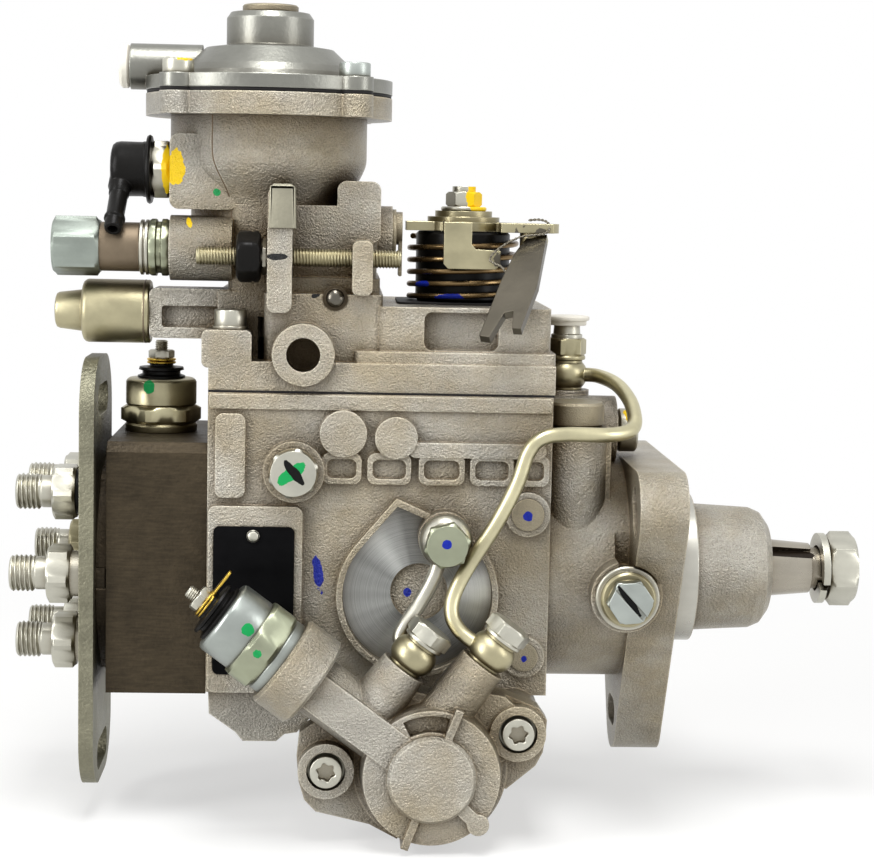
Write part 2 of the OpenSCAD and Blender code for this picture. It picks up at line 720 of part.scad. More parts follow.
module timing_piston() {
    color(steel) difference() {
        rod_y(-timing_x, -28, axis_z, piston_r, 56);
        span([-timing_x - 3.6, -6.2, axis_z - 5], [-timing_x + 3.6, 6.2, axis_z + 14]);
        rod_y(-timing_x, 20, axis_z, 8.8, 9);
    }
}

module timing_spring() {
    color(bronze) translate([-timing_x, 21.3, axis_z]) rotate([-90, 0, 0])
        coil(7.2, 1, 5.3, 7, 14, 6);
}

module timing_end_cover() {
    color(cast_aluminium) difference() {
        union() {
            rod_y(-timing_x, timing_far_y + fit, axis_z, piston_r + 7, 11);
            rod_y(-timing_x, timing_far_y + fit, axis_z, piston_r + 3, 14);
            for (s = [-1, 1]) {
                rod_y(-timing_x + s * far_ear, timing_far_y + fit, axis_z, 7, 7);
                span([-timing_x + min(0, s * far_ear), timing_far_y + fit, axis_z - 6],
                    [-timing_x + max(0, s * far_ear), timing_far_y + 7, axis_z + 6]);
            }
        }
        rod_y(-timing_x, timing_far_y - 1, axis_z, piston_r + running_gap, 11.5);
        for (s = [-1, 1]) rod_y(-timing_x + s * far_ear, timing_far_y - 1, axis_z, 3 + fit, 12);
    }
}

// Where the timing cover's two ears stand, in its own frame
ear_at = [[26.3, 19.5], [-14.4, -26.2]];
ear_r = 8.8;
far_ear = 24.8;
// Seats of the two banjo bolts: place along the arm and height over it
seat_at = [[26.6, 21.1], [7.8, 36.8]];
seat_z = 10 - timing_near_y;
ear_xz = [for (p = ear_at) [-timing_x - p[0] * cos(arm_angle) - p[1] * sin(arm_angle),
    axis_z + p[0] * sin(arm_angle) - p[1] * cos(arm_angle)]];
socket_at = 46;
mouth_at = 58.9;

// Outlines of the timing cover's flange plates and shoulder, in its own frame
cover_plates = [[[0, 0], [36, 4], [39.8, 15.6], [36, 22], [30.5, 28.2], [25.5, 31.9], [20.4, 32.8],
    [4.4, 25.9], [-5.6, 24.4]],
    [[0, 0], [-4, -33], [-15.6, -36], [-20, -34.5], [-22.9, -30], [-25.3, -25.5], [-26.1, -20.7],
        [-23.3, -9.2]]];
shoulder = [[0, 0], [34.5, -5], [32.6, -9], [31.6, -15], [20, -17], [14.4, -19.5], [11.6, -24.5],
    [11.2, -29.5],
    [0, -31], [-4, -33], [-14, -32], [-20, -24], [-12, -8]];

// A radial rib from r0 to r1 on the timing cover's face
module radial_rib(angle, r0, r1, w, z0, h) {
    rotate(angle) translate([r0, -w / 2, z0]) cube([r1 - r0, w, h]);
}

module timing_cover() {
    near = -timing_near_y;
    color(cast_aluminium) timing_frame() difference() {
        union() {
            translate([0, 0, near]) cylinder(r = timing_cover_r + 1.5, h = 9);
            translate([0, 0, near + 1]) cylinder(r1 = timing_cover_r + 0.5, r2 = timing_cover_r - 1.5,
                h = 19);
            translate([0, 0, near + 10]) chamfered_rod(13.8, 13, 1);
            for (p = cover_plates) translate([0, 0, near]) linear_extrude(8) polygon(p);
            translate([0, 0, near]) linear_extrude(12) polygon(shoulder);
            for (p = ear_at) translate([p[0], p[1], near]) cylinder(r = ear_r, h = 13);
            span([0, -6, near + 4], [socket_at + 2, 6, near + 20.5]);
            translate([0, 0, seat_z]) rotate([0, 90, 0]) cylinder(r = 9.5, h = socket_at + 2);
            translate([socket_at, 0, seat_z]) rotate([0, 90, 0]) chamfered_rod(socket_r,
                mouth_at - socket_at, 1);
            for (p = seat_at) translate([p[0], -p[1], seat_z]) rotate([-90, 0, 0])
                cylinder(r1 = 7.5, r2 = 9, h = p[1] - 4);
            translate([nub_at[0], nub_at[1], near + 2]) cylinder(r = 3.4, h = 19.6);
            radial_rib(atan2(nub_at[1], nub_at[0]), 12, norm(nub_at), 4.4, near + 10, 11.6);
            radial_rib(arm_angle - 111, 12, timing_cover_r + 0.6, 2.4, near + 4, 17.6);
            radial_rib(arm_angle + 70, 12, timing_cover_r + 1, 2.4, near + 4, 17.2);
        }
        translate([0, 0, near + 14.5]) linear_extrude(8) difference() {
            polygon([[0, 0], [9.5, -26], [22, -24], [26, -12.6]]);
            circle(r = 14.6);
            difference() {
                circle(r = 40);
                circle(r = timing_cover_r - 3);
            }
        }
        translate([0, 0, near - 1]) cylinder(r = piston_r + running_gap, h = 12);
        for (p = ear_at) {
            translate([p[0], p[1], near - 1]) cylinder(r = 3 + fit, h = 20);
            translate([p[0], p[1], near + 9]) cylinder(r = 6.1, h = 6);
        }
        translate([socket_at - 12, 0, seat_z]) rotate([0, 90, 0]) cylinder(r = 9 + fit, h = 20);
        translate([socket_at + 5, 0, seat_z]) rotate([0, 90, 0]) cylinder(r = 11.8 + fit, h = 20);
        for (p = seat_at) translate([p[0], -p[1] - 1, seat_z]) rotate([-90, 0, 0])
            cylinder(r = 4 + fit, h = 12);
    }
}

module timing_solenoid() {
    color(zinc) timing_frame() translate([0, 0, seat_z]) rotate([0, 90, 0]) {
        translate([0, 0, socket_at - 10]) cylinder(r = 9, h = 16);
        translate([0, 0, socket_at + 5 + fit]) cylinder(r = 11.8, h = mouth_at - socket_at - 1.5);
        translate([0, 0, mouth_at + 3.4]) hex_head(26, 8.4);
        translate([0, 0, mouth_at + 11.7]) chamfered_rod(12.1, 11.3, 1);
    }
}

// A black insulator with a threaded stud and its nut
module terminal_stack(r) {
    color(black) chamfered_rod(r, 3.6, 0.5);
    color(black) translate([0, 0, 3.5]) cylinder(r = r * 0.8, h = 1.2);
    color(yellow_zinc) translate([0, 0, 4.6]) chamfered_rod(4.8, 1.2, 0.3);
    color(zinc) translate([0, 0, 5.7]) hex_head(7.5, 3.6);
    color(zinc) translate([0, 0, 9.2]) cylinder(r = 1.9, h = 2.6);
}

module solenoid_terminals() {
    translate([solenoid_x, 0, head_top + 17.6]) terminal_stack(7.9);
    timing_frame() translate([mouth_at + 23.1, 0, seat_z]) rotate([0, 90, 0]) terminal_stack(10);
    color(yellow_zinc) timing_frame() translate([mouth_at + 28.6, -11, seat_z - 3]) cube([0.9, 12, 6]);
}

module shutoff_solenoid() {
    color(zinc) translate([solenoid_x, 0, 0]) difference() {
        union() {
            translate([0, 0, head_top - 10]) cylinder(r = 9, h = 11);
            translate([0, 0, head_top + fit]) cylinder(r = 12.6, h = 2.6);
            translate([0, 0, head_top + 2.6]) hex_head(24, 5.6);
            translate([0, 0, head_top + 8.1]) chamfered_rod(11.7, 9.4, 0.8);
        }
        translate([0, 0, head_top - 11]) cylinder(r = 4 + running_gap, h = 20);
    }
}

module shutoff_plunger() {
    color(steel) translate([solenoid_x, 0, 0]) {
        translate([0, 0, head_top - 12.5]) cylinder(r = 4, h = 12.5);
        translate([0, 0, head_top - 14]) cylinder(r1 = 2.5, r2 = 3.8, h = 1.6);
    }
}

module distributor_head() {
    color(dark_iron) difference() {
        union() {
            translate([head_x, 0, 0]) rotate([90, 0, 90]) linear_extrude(head_len - fit)
                polygon([[-box_half, -head_bottom], [box_half, -head_bottom], [box_half, head_top - 6],
                    [box_half - 6, head_top], [-box_half + 3, head_top], [-box_half, head_top - 3]]);
            rod_x(head_x - boss_t, 36.5, boss_t + 1);
            rod_x(rear_x - 1, chamber_r - fit, 5);
        }
        rod_x(head_x - boss_t - 1, 7 + fit, 10);
        rod_x(head_x + 2 - fit, 11, head_len + 10);
        for (i = [0 : outlets - 1]) rotate([i * 60, 0, 0])
            rod_x(head_x - boss_t - 1, 8.5 + fit, 18, -delivery_pcd / 2, 0);
        translate([solenoid_x, 0, head_top - 10.5]) cylinder(r = 9 + fit, h = 12);
        translate([solenoid_x, 0, head_top - 18]) cylinder(r = 4.3, h = 10);
        for (s = [-1, 1]) rod_x(head_x - boss_t - 1, 2.5 + fit, 10, 0, s * bracket_screw_r);
    }
}

module rear_bracket() {
    w = 52;
    strip_y = -16;
    color(yellow_zinc) difference() {
        union() {
            translate([bracket_x, strip_y, 0]) rotate([90, 0, 90])
                linear_extrude(bracket_t - fit) rounded_rect(w, 2 * bracket_top, 18);
            rod_x(bracket_x, 42, bracket_t - fit);
        }
        extrude_x(bracket_x - 1, bracket_t + 2) for (z = [-61, 56])
            translate([strip_y, z]) slot2d(10, 28);
        for (i = [0 : outlets - 1]) rotate([i * 60, 0, 0])
            rod_x(bracket_x - 1, 8.5 + fit, bracket_t + 2, -delivery_pcd / 2, 0);
        rod_x(bracket_x - 1, 7 + fit, bracket_t + 2);
        for (s = [-1, 1]) rod_x(bracket_x - 1, 2.5 + fit, bracket_t + 2, 0, s * bracket_screw_r);
    }
}

module holder_profile() {
    r = outlet_d / 2;
    difference() {
        union() {
            chamfered_rod(8.5, 20, 0.5);
            translate([0, 0, 19.75]) cylinder(r = 9.3, h = 5.4);
            translate([0, 0, 25]) hex_head(holder_af, 6.6);
            translate([0, 0, 31.5]) cylinder(r = r - 0.9, h = 3);
            translate([0, 0, 33.5]) chamfered_rod(r, 9.6, 0.8);
        }
        translate([0, 0, -1]) cylinder(r = 4.6, h = 19);
        cylinder(r = 1.4, h = 50);
        translate([0, 0, 40.5]) cylinder(r1 = 1.4, r2 = 3.6, h = 2.7);
    }
}

holder_x = bracket_x + 19.7;
bracket_screw_r = 14.4;

module delivery_holders() {
    color(zinc) for (i = [0 : outlets - 1]) rotate([i * 60, 0, 0])
        translate([holder_x, -delivery_pcd / 2, 0]) rotate([0, -90, 0]) holder_profile();
}

module delivery_valves() {
    color(steel) for (i = [0 : outlets - 1]) rotate([i * 60, 0, 0])
        translate([holder_x, -delivery_pcd / 2, 0]) rotate([0, -90, 0]) {
            translate([0, 0, 0.6]) cylinder(r = 3.9, h = 5);
            translate([0, 0, 5.5]) cylinder(r1 = 3.9, r2 = 2, h = 2.4);
        }
}

module valve_springs() {
    color(bronze) for (i = [0 : outlets - 1]) rotate([i * 60, 0, 0])
        translate([holder_x, -delivery_pcd / 2, 0]) rotate([0, -90, 0])
            translate([0, 0, 8.6]) coil(3.3, 0.5, 2.2, 4, 12, 5);
    color(bronze) translate([solenoid_x, 0, head_top + 0.7]) coil(2.9, 0.5, 1.8, 4, 12, 5);
}

module governor_cover() {
    right_x = -box_right + 0.5;
    flange_h = diaphragm_z - boost_flange_z - fit;
    color(cast_aluminium) difference() {
        union() {
            span([rear_x, -box_half, cover_z], [right_x, box_half, cover_z + 9.2]);
            soft_block_z(tower_x + 29, right_x, -box_half + 0.6, box_half - 0.6, cover_z + 8,
                cover_z + 13, 2);
            soft_block_z(tower_x + 36, right_x - 1.5, -box_half + 2.5, box_half - 2.5, cover_z + 12,
                cover_top, 3);
            soft_block_z(tower_x + 0.2, tower_x + 38, -box_half + 3, box_half - 3, cover_z + 8, 92, 3);
            soft_block_z(tower_x + 4, tower_x + 37, -box_half + 6, box_half - 6, 90, 97, 3);
            span([rear_x + 2, -25, cover_z + 8], [tower_x + 1, box_half - 3, 92]);
            soft_block_z(tower_x - 12, tower_x + 36, -25, 25, 90, 120, 5);
            translate([tower_x, 0, bowl_bottom]) cylinder(r = 23, h = boost_flange_z - bowl_bottom);
            translate([tower_x, 0, boost_flange_z - 30.3]) cylinder(r1 = 23, r2 = bowl_r, h = 16);
            translate([tower_x, 0, boost_flange_z - 14.5]) cylinder(r = bowl_r, h = 14.5);
            translate([tower_x, 0, boost_flange_z - 0.2]) cylinder(r = boost_flange_r, h = flange_h);
            for (a = [45 : 90 : 315]) translate([tower_x, 0, boost_flange_z - 0.2]) rotate(a)
                translate([boost_flange_r - 1, 0, 0]) cylinder(r = 6, h = flange_h);
            rod_x(tower_x + 14, 9.2, 27, -10, 111);
            soft_block_y(tower_x + 23, tower_x + 37, -25, -5, 108, 128, 3);
            soft_block_y(tower_x + 1.3, tower_x + 9.1, stop_screw_y - 7, -20, stop_screw_z - 17.3,
                stop_screw_z + 22, 2.5);
            soft_block_y(tower_x + 28.1, tower_x + 34.5, stop_screw_y - 7, -20, stop_screw_z - 11.4,
                stop_screw_z + 5.8, 2);
            rod_x(union_x, 10.5, 20, union_y, union_z);
            soft_block_y(tower_x - 30.8, tower_x - 9, elbow_y - 12, elbow_y + 10, elbow_z - 12.5,
                elbow_z + 11.5, 3);
            difference() {
                soft_block_y(idle_x, tower_x - 9, idle_y - 9, idle_y + 9, idle_z - 8, idle_z + 8, 2);
                soft_block_y(idle_x + 4, tower_x - 14.5, idle_y - 10, idle_y - 6.5, idle_z - 4.5,
                    idle_z + 2.5, 1);
            }
            soft_block_y(rear_x - 2.2, rear_x + 13.6, -box_half, -box_half + 18, cover_z + 7,
                cover_z + 19, 2);
            rod_y(tower_x + 13, -box_half - 3, cover_z + 11.7, 9.9, 14);
        }
        span([rear_x + 6, -28, cover_z - 1], [-48, 28, cover_z + 7]);
        span([tower_x - 2, -28, cover_z - 1], [-48, 28, cover_top - 4.5]);
        translate([rear_x + 6.5, 7 - box_half, cover_z - 1]) cylinder(r = 3 + fit, h = 25);
        translate([-throttle_x, 0, cover_top - 6]) cylinder(r = throttle_d / 2 + running_gap, h = 12);
        translate([tower_x, 0, cover_top - 18]) cylinder(r = boost_rod_r + running_gap, h = 70);
        translate([tower_x, 0, boost_flange_z - 26.3]) cylinder(r = 17, h = 40);
        translate([tower_x, 0, boost_flange_z - 6.3]) cylinder(r = 27, h = 20);
        rod_x(tower_x - 35, stop_screw_d / 2 + fit, 80, stop_screw_y, stop_screw_z);
        rod_x(tower_x - 9.4, 8.4, 10.6, stop_screw_y, stop_screw_z);
        rod_x(union_x - 0.5, 5.2, 16, union_y, union_z);
        rod_y(tower_x + 13, -box_half - 4, cover_z + 11.7, 5.4, 10);
        soft_block_y(-throttle_x - 13.7, -throttle_x + 10.1, -box_half + 1, -box_half + 5.5,
            cover_z + 13.5, cover_top - 1.5, 2.5);
        for (a = [45 : 90 : 315]) translate([tower_x, 0, boost_flange_z - 9]) rotate(a)
            translate([boost_flange_r - 1, 0, 0]) cylinder(r = 2.5 + fit, h = 20);
        rod_x(idle_x - 1, 5.5 + fit, 12, idle_y, idle_z);
        rod_x(tower_x - 32, 5 + fit, 10, elbow_y, elbow_z);
        rod_x(elbow_x - 8, 11.4, 8, elbow_y, elbow_z);
    }
}

module cover_gasket() {
    color(black) difference() {
        span([rear_x, -box_half, seam_z + 0.02], [-box_right + 0.3, box_half, cover_z - 0.02]);
        span([rear_x + 6, -26, seam_z - 1], [-48, 26, cover_z + 1]);
    }
    color(black) translate([-throttle_x, 0, cover_top + 0.02]) difference() {
        soft_block_z(-22, 19, -18, 18, 0, 0.7, 4);
        translate([0, 0, -1]) cylinder(r = throttle_d / 2 + 1, h = 3);
    }
}

module boost_diaphragm() {
    color(black) difference() {
        union() {
            translate([-boost_x, 0, diaphragm_z]) cylinder(r = boost_flange_r - 0.3, h = 0.9);
            for (a = [45 : 90 : 315]) translate([-boost_x, 0, diaphragm_z]) rotate(a)
                translate([boost_flange_r - 1, 0, 0]) cylinder(r = 5.8, h = 0.9);
        }
        for (a = [45 : 90 : 315]) translate([-boost_x, 0, diaphragm_z - 1]) rotate(a)
            translate([boost_flange_r - 1, 0, 0]) cylinder(r = 2.6 + fit, h = 3);
        translate([-boost_x, 0, diaphragm_z - 1]) cylinder(r = 3.1, h = 3);
    }
}

module boost_rod() {
    color(steel) translate([-boost_x, 0, 0]) {
        translate([0, 0, 76]) cylinder(r = boost_rod_r, h = diaphragm_z - 78.5);
        translate([0, 0, diaphragm_z - 2.6]) cylinder(r = 20, h = 2.5);
        translate([0, 0, diaphragm_z - 0.2]) cylinder(r = 3, h = 5);
        translate([0, 0, diaphragm_z + 1]) cylinder(r = 19, h = 2);
    }
}

module boost_spring() {
    color(bronze) translate([-boost_x, 0, boost_flange_z - 25.1]) coil(12.5, 1.2,
        (diaphragm_z - boost_flange_z + 20.9) / 5, 5, 18, 6);
}

module boost_cover() {
    z0 = diaphragm_z + 0.95;
    top = boost_cover_h;
    color(machined) difference() {
        union() {
            translate([-boost_x, 0, z0]) rotate_extrude()
                polygon([[0, 0], [boost_flange_r, 0], [boost_flange_r, 4.4], [29.5, 4.4], [28.6, 6.5],
                    [27, 8.6], [24, 11.4], [21, 14.2], [14.3, 15.2], [14.3, top - 4.5], [13,
                        top - 2.6], [0, top - 2.6]]);
            for (a = [45 : 90 : 315]) translate([-boost_x, 0, z0]) rotate(a)
                translate([boost_flange_r - 1, 0, 0]) cylinder(r = 6, h = 4.4);
            translate([-boost_x, 0, z0 + 7.7]) rotate([0, -90, 0]) translate([0, 0, 22])
                cylinder(r = 7.5, h = 23.5);
        }
        translate([-boost_x, 0, z0 - 1]) rotate_extrude()
            polygon([[0, 0], [25, 0], [25, 5], [18, 12.5], [8, 13.5], [0, 13.5]]);
        translate([-boost_x, 0, z0 + 10]) cylinder(r = 7 + fit, h = 30);
        translate([-boost_x, 0, z0 + 7.7]) rotate([0, -90, 0]) translate([0, 0, 20])
            cylinder(r = 4, h = 40);
        for (a = [45 : 90 : 315]) translate([-boost_x, 0, z0 - 1]) rotate(a)
            translate([boost_flange_r - 1, 0, 0]) cylinder(r = 2.5 + fit, h = 20);
    }
}

module boost_inlet_cap() {
    x = -boost_x - 44.3;
    color(white_plastic) translate([x, 0, diaphragm_z + 8.65]) rotate([0, -90, 0]) {
        translate([0, 0, -5]) cylinder(r = 3.9, h = 7);
        translate([0, 0, 1.3]) chamfered_rod(7.1, 3.4, 0.8);
    }
}

module cover_screws() {
    z0 = diaphragm_z + 0.95 + 4.45;
    color(zinc) for (a = [45 : 90 : 315]) translate([-boost_x, 0, z0]) rotate(a)
        translate([boost_flange_r - 1, 0, 0]) cap_screw(5, 4, 2.5, 12);
    color(zinc) translate([rear_x + 6.5, 7 - box_half, cover_z + 19.05]) cap_screw(5.2, 6.4, 3, 17);
    color(zinc) timing_frame() for (p = ear_at)
        translate([p[0], p[1], 9.05 - timing_near_y]) cap_screw(5.3, 5.4, 3, 18);
    color(zinc) for (s = [-1, 1]) translate([-timing_x + s * far_ear, timing_far_y + 7.1, axis_z])
        rotate([-90, 0, 0]) cap_screw(5, 5, 3, 14);
    color(zinc) for (s = [-1, 1]) translate([bracket_x - 0.05, 0, s * bracket_screw_r])
        rotate([0, -90, 0]) cap_screw(4.2, 4, 2.5, bracket_t + boss_t + 4);
    color(zinc) translate([adjuster_at[0], -45.05, adjuster_at[1]]) rotate([90, 0, 0]) {
        chamfered_rod(10.3, 2.2, 0.4);
        translate([0, 0, 2.1]) chamfered_rod(7.6, 4.5, 0.6);
        translate([0, 0, 6.5]) hex_head(9.5, 5);
        translate([0, 0, -8]) cylinder(r = 4, h = 8.1);
    }
}

module stop_screw() {
    z = stop_screw_z;
    lug_x = tower_x + 9.1;
    color(zinc) rod_x(tower_x - 21.3, stop_screw_d / 2, 64.8, stop_screw_y, z);
    color(black) difference() {
        translate([tower_x - 8.7, stop_screw_y, z]) rotate([0, 90, 0]) hex_head(13, 7.8);
        rod_x(tower_x - 9, stop_screw_d / 2 + fit, 10, stop_screw_y, z);
    }
    color(zinc) difference() {
        translate([tower_x - 0.8, stop_screw_y, z]) rotate([0, 90, 0]) hex_head(10, 2);
        rod_x(tower_x - 1, stop_screw_d / 2 + fit, 4, stop_screw_y, z);
    }
    color(zinc) {
        span([tower_x + 1.5, stop_screw_y - 8.05, z + 9.2], [lug_x + 1.1, stop_screw_y - 7.05, z + 23]);
        span([tower_x + 1.5, stop_screw_y - 8.05, z + 22.05], [lug_x + 1.1, stop_screw_y + 4, z + 23]);
        span([lug_x + 0.1, stop_screw_y - 8.05, z + 9.2], [lug_x + 1.1, stop_screw_y + 4, z + 23]);
    }
}

module throttle_bush() {
    color(black) difference() {
        translate([-throttle_x, 0,
            cover_top + 0.75]) chamfered_rod(throttle_spring_d / 2 - throttle_wire_d - 1.1, 23, 0.8);
        translate([-throttle_x, 0, cover_top]) cylinder(r = throttle_d / 2 + running_gap, h = 30);
    }
}

module throttle_spring() {
    wire = throttle_wire_d / 2;
    color(bronze) translate([-throttle_x, 0, cover_top + wire + 0.9])
        coil(throttle_spring_d / 2 - wire, wire, (throttle_plate_z - cover_top - 4)
            / thr_spring_turns, thr_spring_turns, 24, 8);
}

// The throttle shaft ends above the circle that the tilted flyweights sweep
module throttle_shaft() {
    low_z = gov_z + weight_reach;
    color(steel) translate([-throttle_x, 0, 0]) {
        translate([0, 0, low_z]) cylinder(r = throttle_d / 2, h = throttle_plate_z - low_z);
        translate([0, 0, throttle_plate_z - 0.1]) cylinder(r = 3.9, h = 14.8);
        translate([-5.5, 0, low_z + 0.1]) cylinder(r = 3, h = 4);
        translate([-5.5, 0, gov_spring_z - 1]) cylinder(r = 1.6, h = low_z - gov_spring_z + 2);
    }
    color(zinc) translate([-throttle_x, 0, throttle_plate_z + 6.6]) difference() {
        union() {
            chamfered_rod(7.6, 1.4, 0.4);
            translate([0, 0, 1.3]) hex_head(10.5, 5);
        }
        translate([0, 0, -1]) cylinder(r = 3.9 + fit, h = 10);
    }
}

module throttle_lever() {
    z = throttle_plate_z;
    color(yellow_zinc) translate([-throttle_x, 0, 0]) difference() {
        union() {
            translate([0, 0, z]) linear_extrude(3) {
                circle(r = 15);
                translate([-19.4, -11]) square([43, 12]);
                translate([11, -24]) square([17, 18]);
                translate([21.5, -15]) circle(r = 9);
            }
            translate([0, 0, z + 3.05]) cylinder(r = 12, h = 1.6);
            translate([0, 0, z + 4.6]) cylinder(r = 9.5, h = 2);
            translate([0, -20.5, 0]) rotate([90, 0, 0]) linear_extrude(2.5)
                polygon([[-7.4, z + 3], [-7.4, z - 10.5],
                [-5.9, z - 12], [9.5, z - 12], [11, z - 10.5], [11, z - 6], [3, z - 5.6], [1.6, z - 4],
                    [1.6, z + 3]]);
            span([-7.4, -23, z], [1.6, -12, z + 3]);
            translate([21.5, -18, z - 5]) cylinder(r = 4, h = 5.1);
            translate([22, -24, z - 4.5]) rotate([0, 0, -112.2]) rotate([0, 38.2, 0])
                translate([0, 0, -1.3])
                linear_extrude(2.6) polygon([[-5, -3], [5, -5.4], [18, -6.2], [45, -6.2], [45.5, -2.8],
                    [34, -1],
                [33, 1.6], [41, 3.4], [41, 6.2], [20, 6.2], [6, 4.4], [-5, 3]]);
        }
        translate([0, 0, z - 1]) cylinder(r = 3.9 + fit, h = 9);
    }
}

// The outer place of the elbow's hose nipple along its own axis
nipple_l = 26.9;

module return_elbow() {
    color(zinc) difference() {
        union() {
            translate([elbow_x - 6.1, elbow_y, elbow_z]) rotate([0, 90, 0]) hex_head(18.5, 6);
            rod_x(elbow_x - 0.5, 5, 7, elbow_y, elbow_z);
        }
        rod_x(elbow_x - 7, 2, 20, elbow_y, elbow_z);
    }
    color(black) translate([elbow_x - 15.8, elbow_y, elbow_z]) {
        rotate([0, 90, 0]) rotate_extrude()
            polygon([[0, -3.6], [5.6, -3.2], [7.9, -2], [8.8, 0.4], [8.8, 5.2], [8, 6.4], [11, 7],
                [11.2, 8],
                [10.8, 9.6], [0, 9.6]]);
        rotate([44, 184, 0]) cylinder(r = 3.5, h = 12);
        rotate([44, 184, 0]) cylinder(r = 2.9, h = nipple_l);
    }
}

module fuel_inlet_union() {
    x = union_x;
    color(zinc) difference() {
        union() {
            translate([x - 37.5, union_y, union_z]) rotate([0, 90, 0]) rotate(30) hex_head(17.3, 15);
            rod_x(x - 9.5, 9.2, 3, union_y, union_z);
            rod_x(x - 6.3, 8.4, 6.2, union_y, union_z);
            rod_x(x - 5.8, 9.5, 1.8, union_y, union_z);
            rod_x(x - 2.9, 9.5, 1.8, union_y, union_z);
            rod_x(x - 0.5, 5.2 - fit, 10, union_y, union_z);
        }
        rod_x(x - 38.5, 4, 60, union_y, union_z);
    }
    color(brown_steel) difference() {
        rod_x(x - 22.45, 7.8, 12.9, union_y, union_z);
        rod_x(x - 23.5, 4, 16, union_y, union_z);
    }
}

module idle_cylinder() {
    color(zinc) translate([idle_x - 31, idle_y, idle_z]) rotate([0, 90, 0]) {
        cylinder(r1 = 5.8, r2 = 6.6, h = 9.2);
        translate([0, 0, 8.9]) chamfered_rod(10.3, 22, 1);
        translate([0, 0, 30.8]) cylinder(r = 5.5, h = 9);
    }
}

module overflow_fitting() {
    color(zinc) translate([overflow_at[0], overflow_at[1], overflow_z]) {
        translate([0, 0, -7]) cylinder(r = 4, h = 18);
        translate([0, 0, 10.2]) cylinder(r = 6.4, h = 1.4);
        translate([0, 0, 11.5]) hex_head(12, 6);
        translate([0, 0, 17.4]) cylinder(r = 4.4, h = 4.6);
        translate([0, 0, 21.9]) cylinder(r = 6.6, h = 1.6);
        translate([0, 0, 23.4]) cylinder(r = 7.6, h = 1.6);
    }
}

// The middle of a banjo ring on the timing cover, and a point beside it
function ring_mid(p) = [-timing_x - p[0] * cos(arm_angle) + (p[1] + banjo_h / 2) * sin(arm_angle), -seat_z,
    axis_z + p[0] * sin(arm_angle) + (p[1] + banjo_h / 2) * cos(arm_angle)];
function near_y(d) = -box_half - d;
ring_a = ring_mid(seat_at[0]);
ring_b = ring_mid(seat_at[1]);
supply_route = [[-28, 5, 64.6], [-23, 2, 64.4], [-18, -8, 62.5], [-15.2, -20, 58.5], [-14.6, -29, 54],
    [-15.6, -34, 51], [-19, near_y(0), 49.6], [-26, near_y(4), 49.2], [-38, near_y(7), 49.6],
    [-46, near_y(9), 48.5], [-50.5, near_y(10), 44], [-54, near_y(11), 34], [-60, near_y(12), 22],
    [-69, near_y(14), 8], [-73.5, near_y(16), -1], [-74, near_y(18), -7], ring_b + [-9.8, 2, 5.8],
    ring_b + [-5, 0, 2.4]];
short_route = [[short_banjo[0] - 1.8, short_banjo_y - banjo_h / 2, short_banjo[1] - 5.4],
    [-79.6, near_y(11.5), 4], [-83.5, near_y(12.5), -3.5], ring_a + [-2.6, 6.6, 8], ring_a + [-4.2,
        5.8, 4.2],
    ring_a + [-2.8, 4.5, 2]];

// A banjo ring with its sealing washers, bored for its bolt
module banjo_ring(r, h) {
    difference() {
        union() {
            cylinder(r = r - 1, h = 1.3);
            translate([0, 0, 1.2]) chamfered_rod(r, h - 2.4, r * 0.3);
            translate([0, 0, h - 1.3]) cylinder(r = r - 1, h = 1.25);
        }
        translate([0, 0, -1]) cylinder(r = 4.1, h = h + 2);
    }
}

// A banjo bolt from its seat, with the shank through a ring of height h
module banjo_bolt(h) {
    translate([0, 0, h + fit]) hex_head(13, 5.8);
    translate([0, 0, -6.5]) cylinder(r = 4, h = h + 6.6);
}

module pipes() {
    color(yellow_zinc) pipe_along(smooth_route(supply_route, 3), pipe_d / 2);
    color(zinc) pipe_along(smooth_route(short_route, 3), pipe_d / 2);
    color(zinc) translate([short_banjo[0], short_banjo_y, short_banjo[1]]) rotate([90, 0, 0])
        banjo_ring(8.6, banjo_h);
    color(yellow_zinc) translate([overflow_at[0], overflow_at[1], overflow_z]) banjo_ring(7.3, 10);
    for (p = seat_at) color(yellow_zinc) timing_frame()
        translate([p[0], -p[1] - fit, seat_z]) rotate([90, 0, 0]) banjo_ring(7.4, banjo_h);
}

module banjo_bolts() {
    color(zinc) timing_frame() for (p = seat_at)
        translate([p[0], -p[1] - fit, seat_z]) rotate([90, 0, 0]) banjo_bolt(banjo_h);
    color(zinc) translate([short_banjo[0], short_banjo_y, short_banjo[1]]) rotate([90, 0, 0])
        banjo_bolt(banjo_h);
}

module housing_plugs() {
    end_x = tower_x + 41.05;
    color(zinc) rod_y(-124.5, -box_half - 5.5, 35.8, 7.8, 1.95);
    color(cast_aluminium) rod_y(-49.5, -box_half - 3, 23, 5.2, 0.45);
    color(cast_aluminium) rod_y(-49.7, -box_half - 1.5, -23.7, 4.6, 0.45);
    color(machined) translate([cup_at[0], cup_at[1], 50.05]) chamfered_rod(9.6, 8, 0.8);
    color(zinc) translate([-boost_x, 0, diaphragm_z + 0.95 + 11]) chamfered_rod(7, 13, 0.5);
    color(zinc) translate([-boost_x, 0, diaphragm_z + 0.95 + boost_cover_h - 2.55])
        chamfered_rod(9.2, 2.6, 0.5);
    color(steel) rod_x(bracket_x - 3, 7, 13);
    color(zinc) {
        rod_x(end_x, 8.2, 1.2, -10, 111);
        rod_x(end_x + 1.1, 5.4, 2.2, -10, 113);
        soft_block_y(end_x + 2.1, end_x + 3.3, -13.5, -6.5, 97.4, 115, 0.5);
    }
}

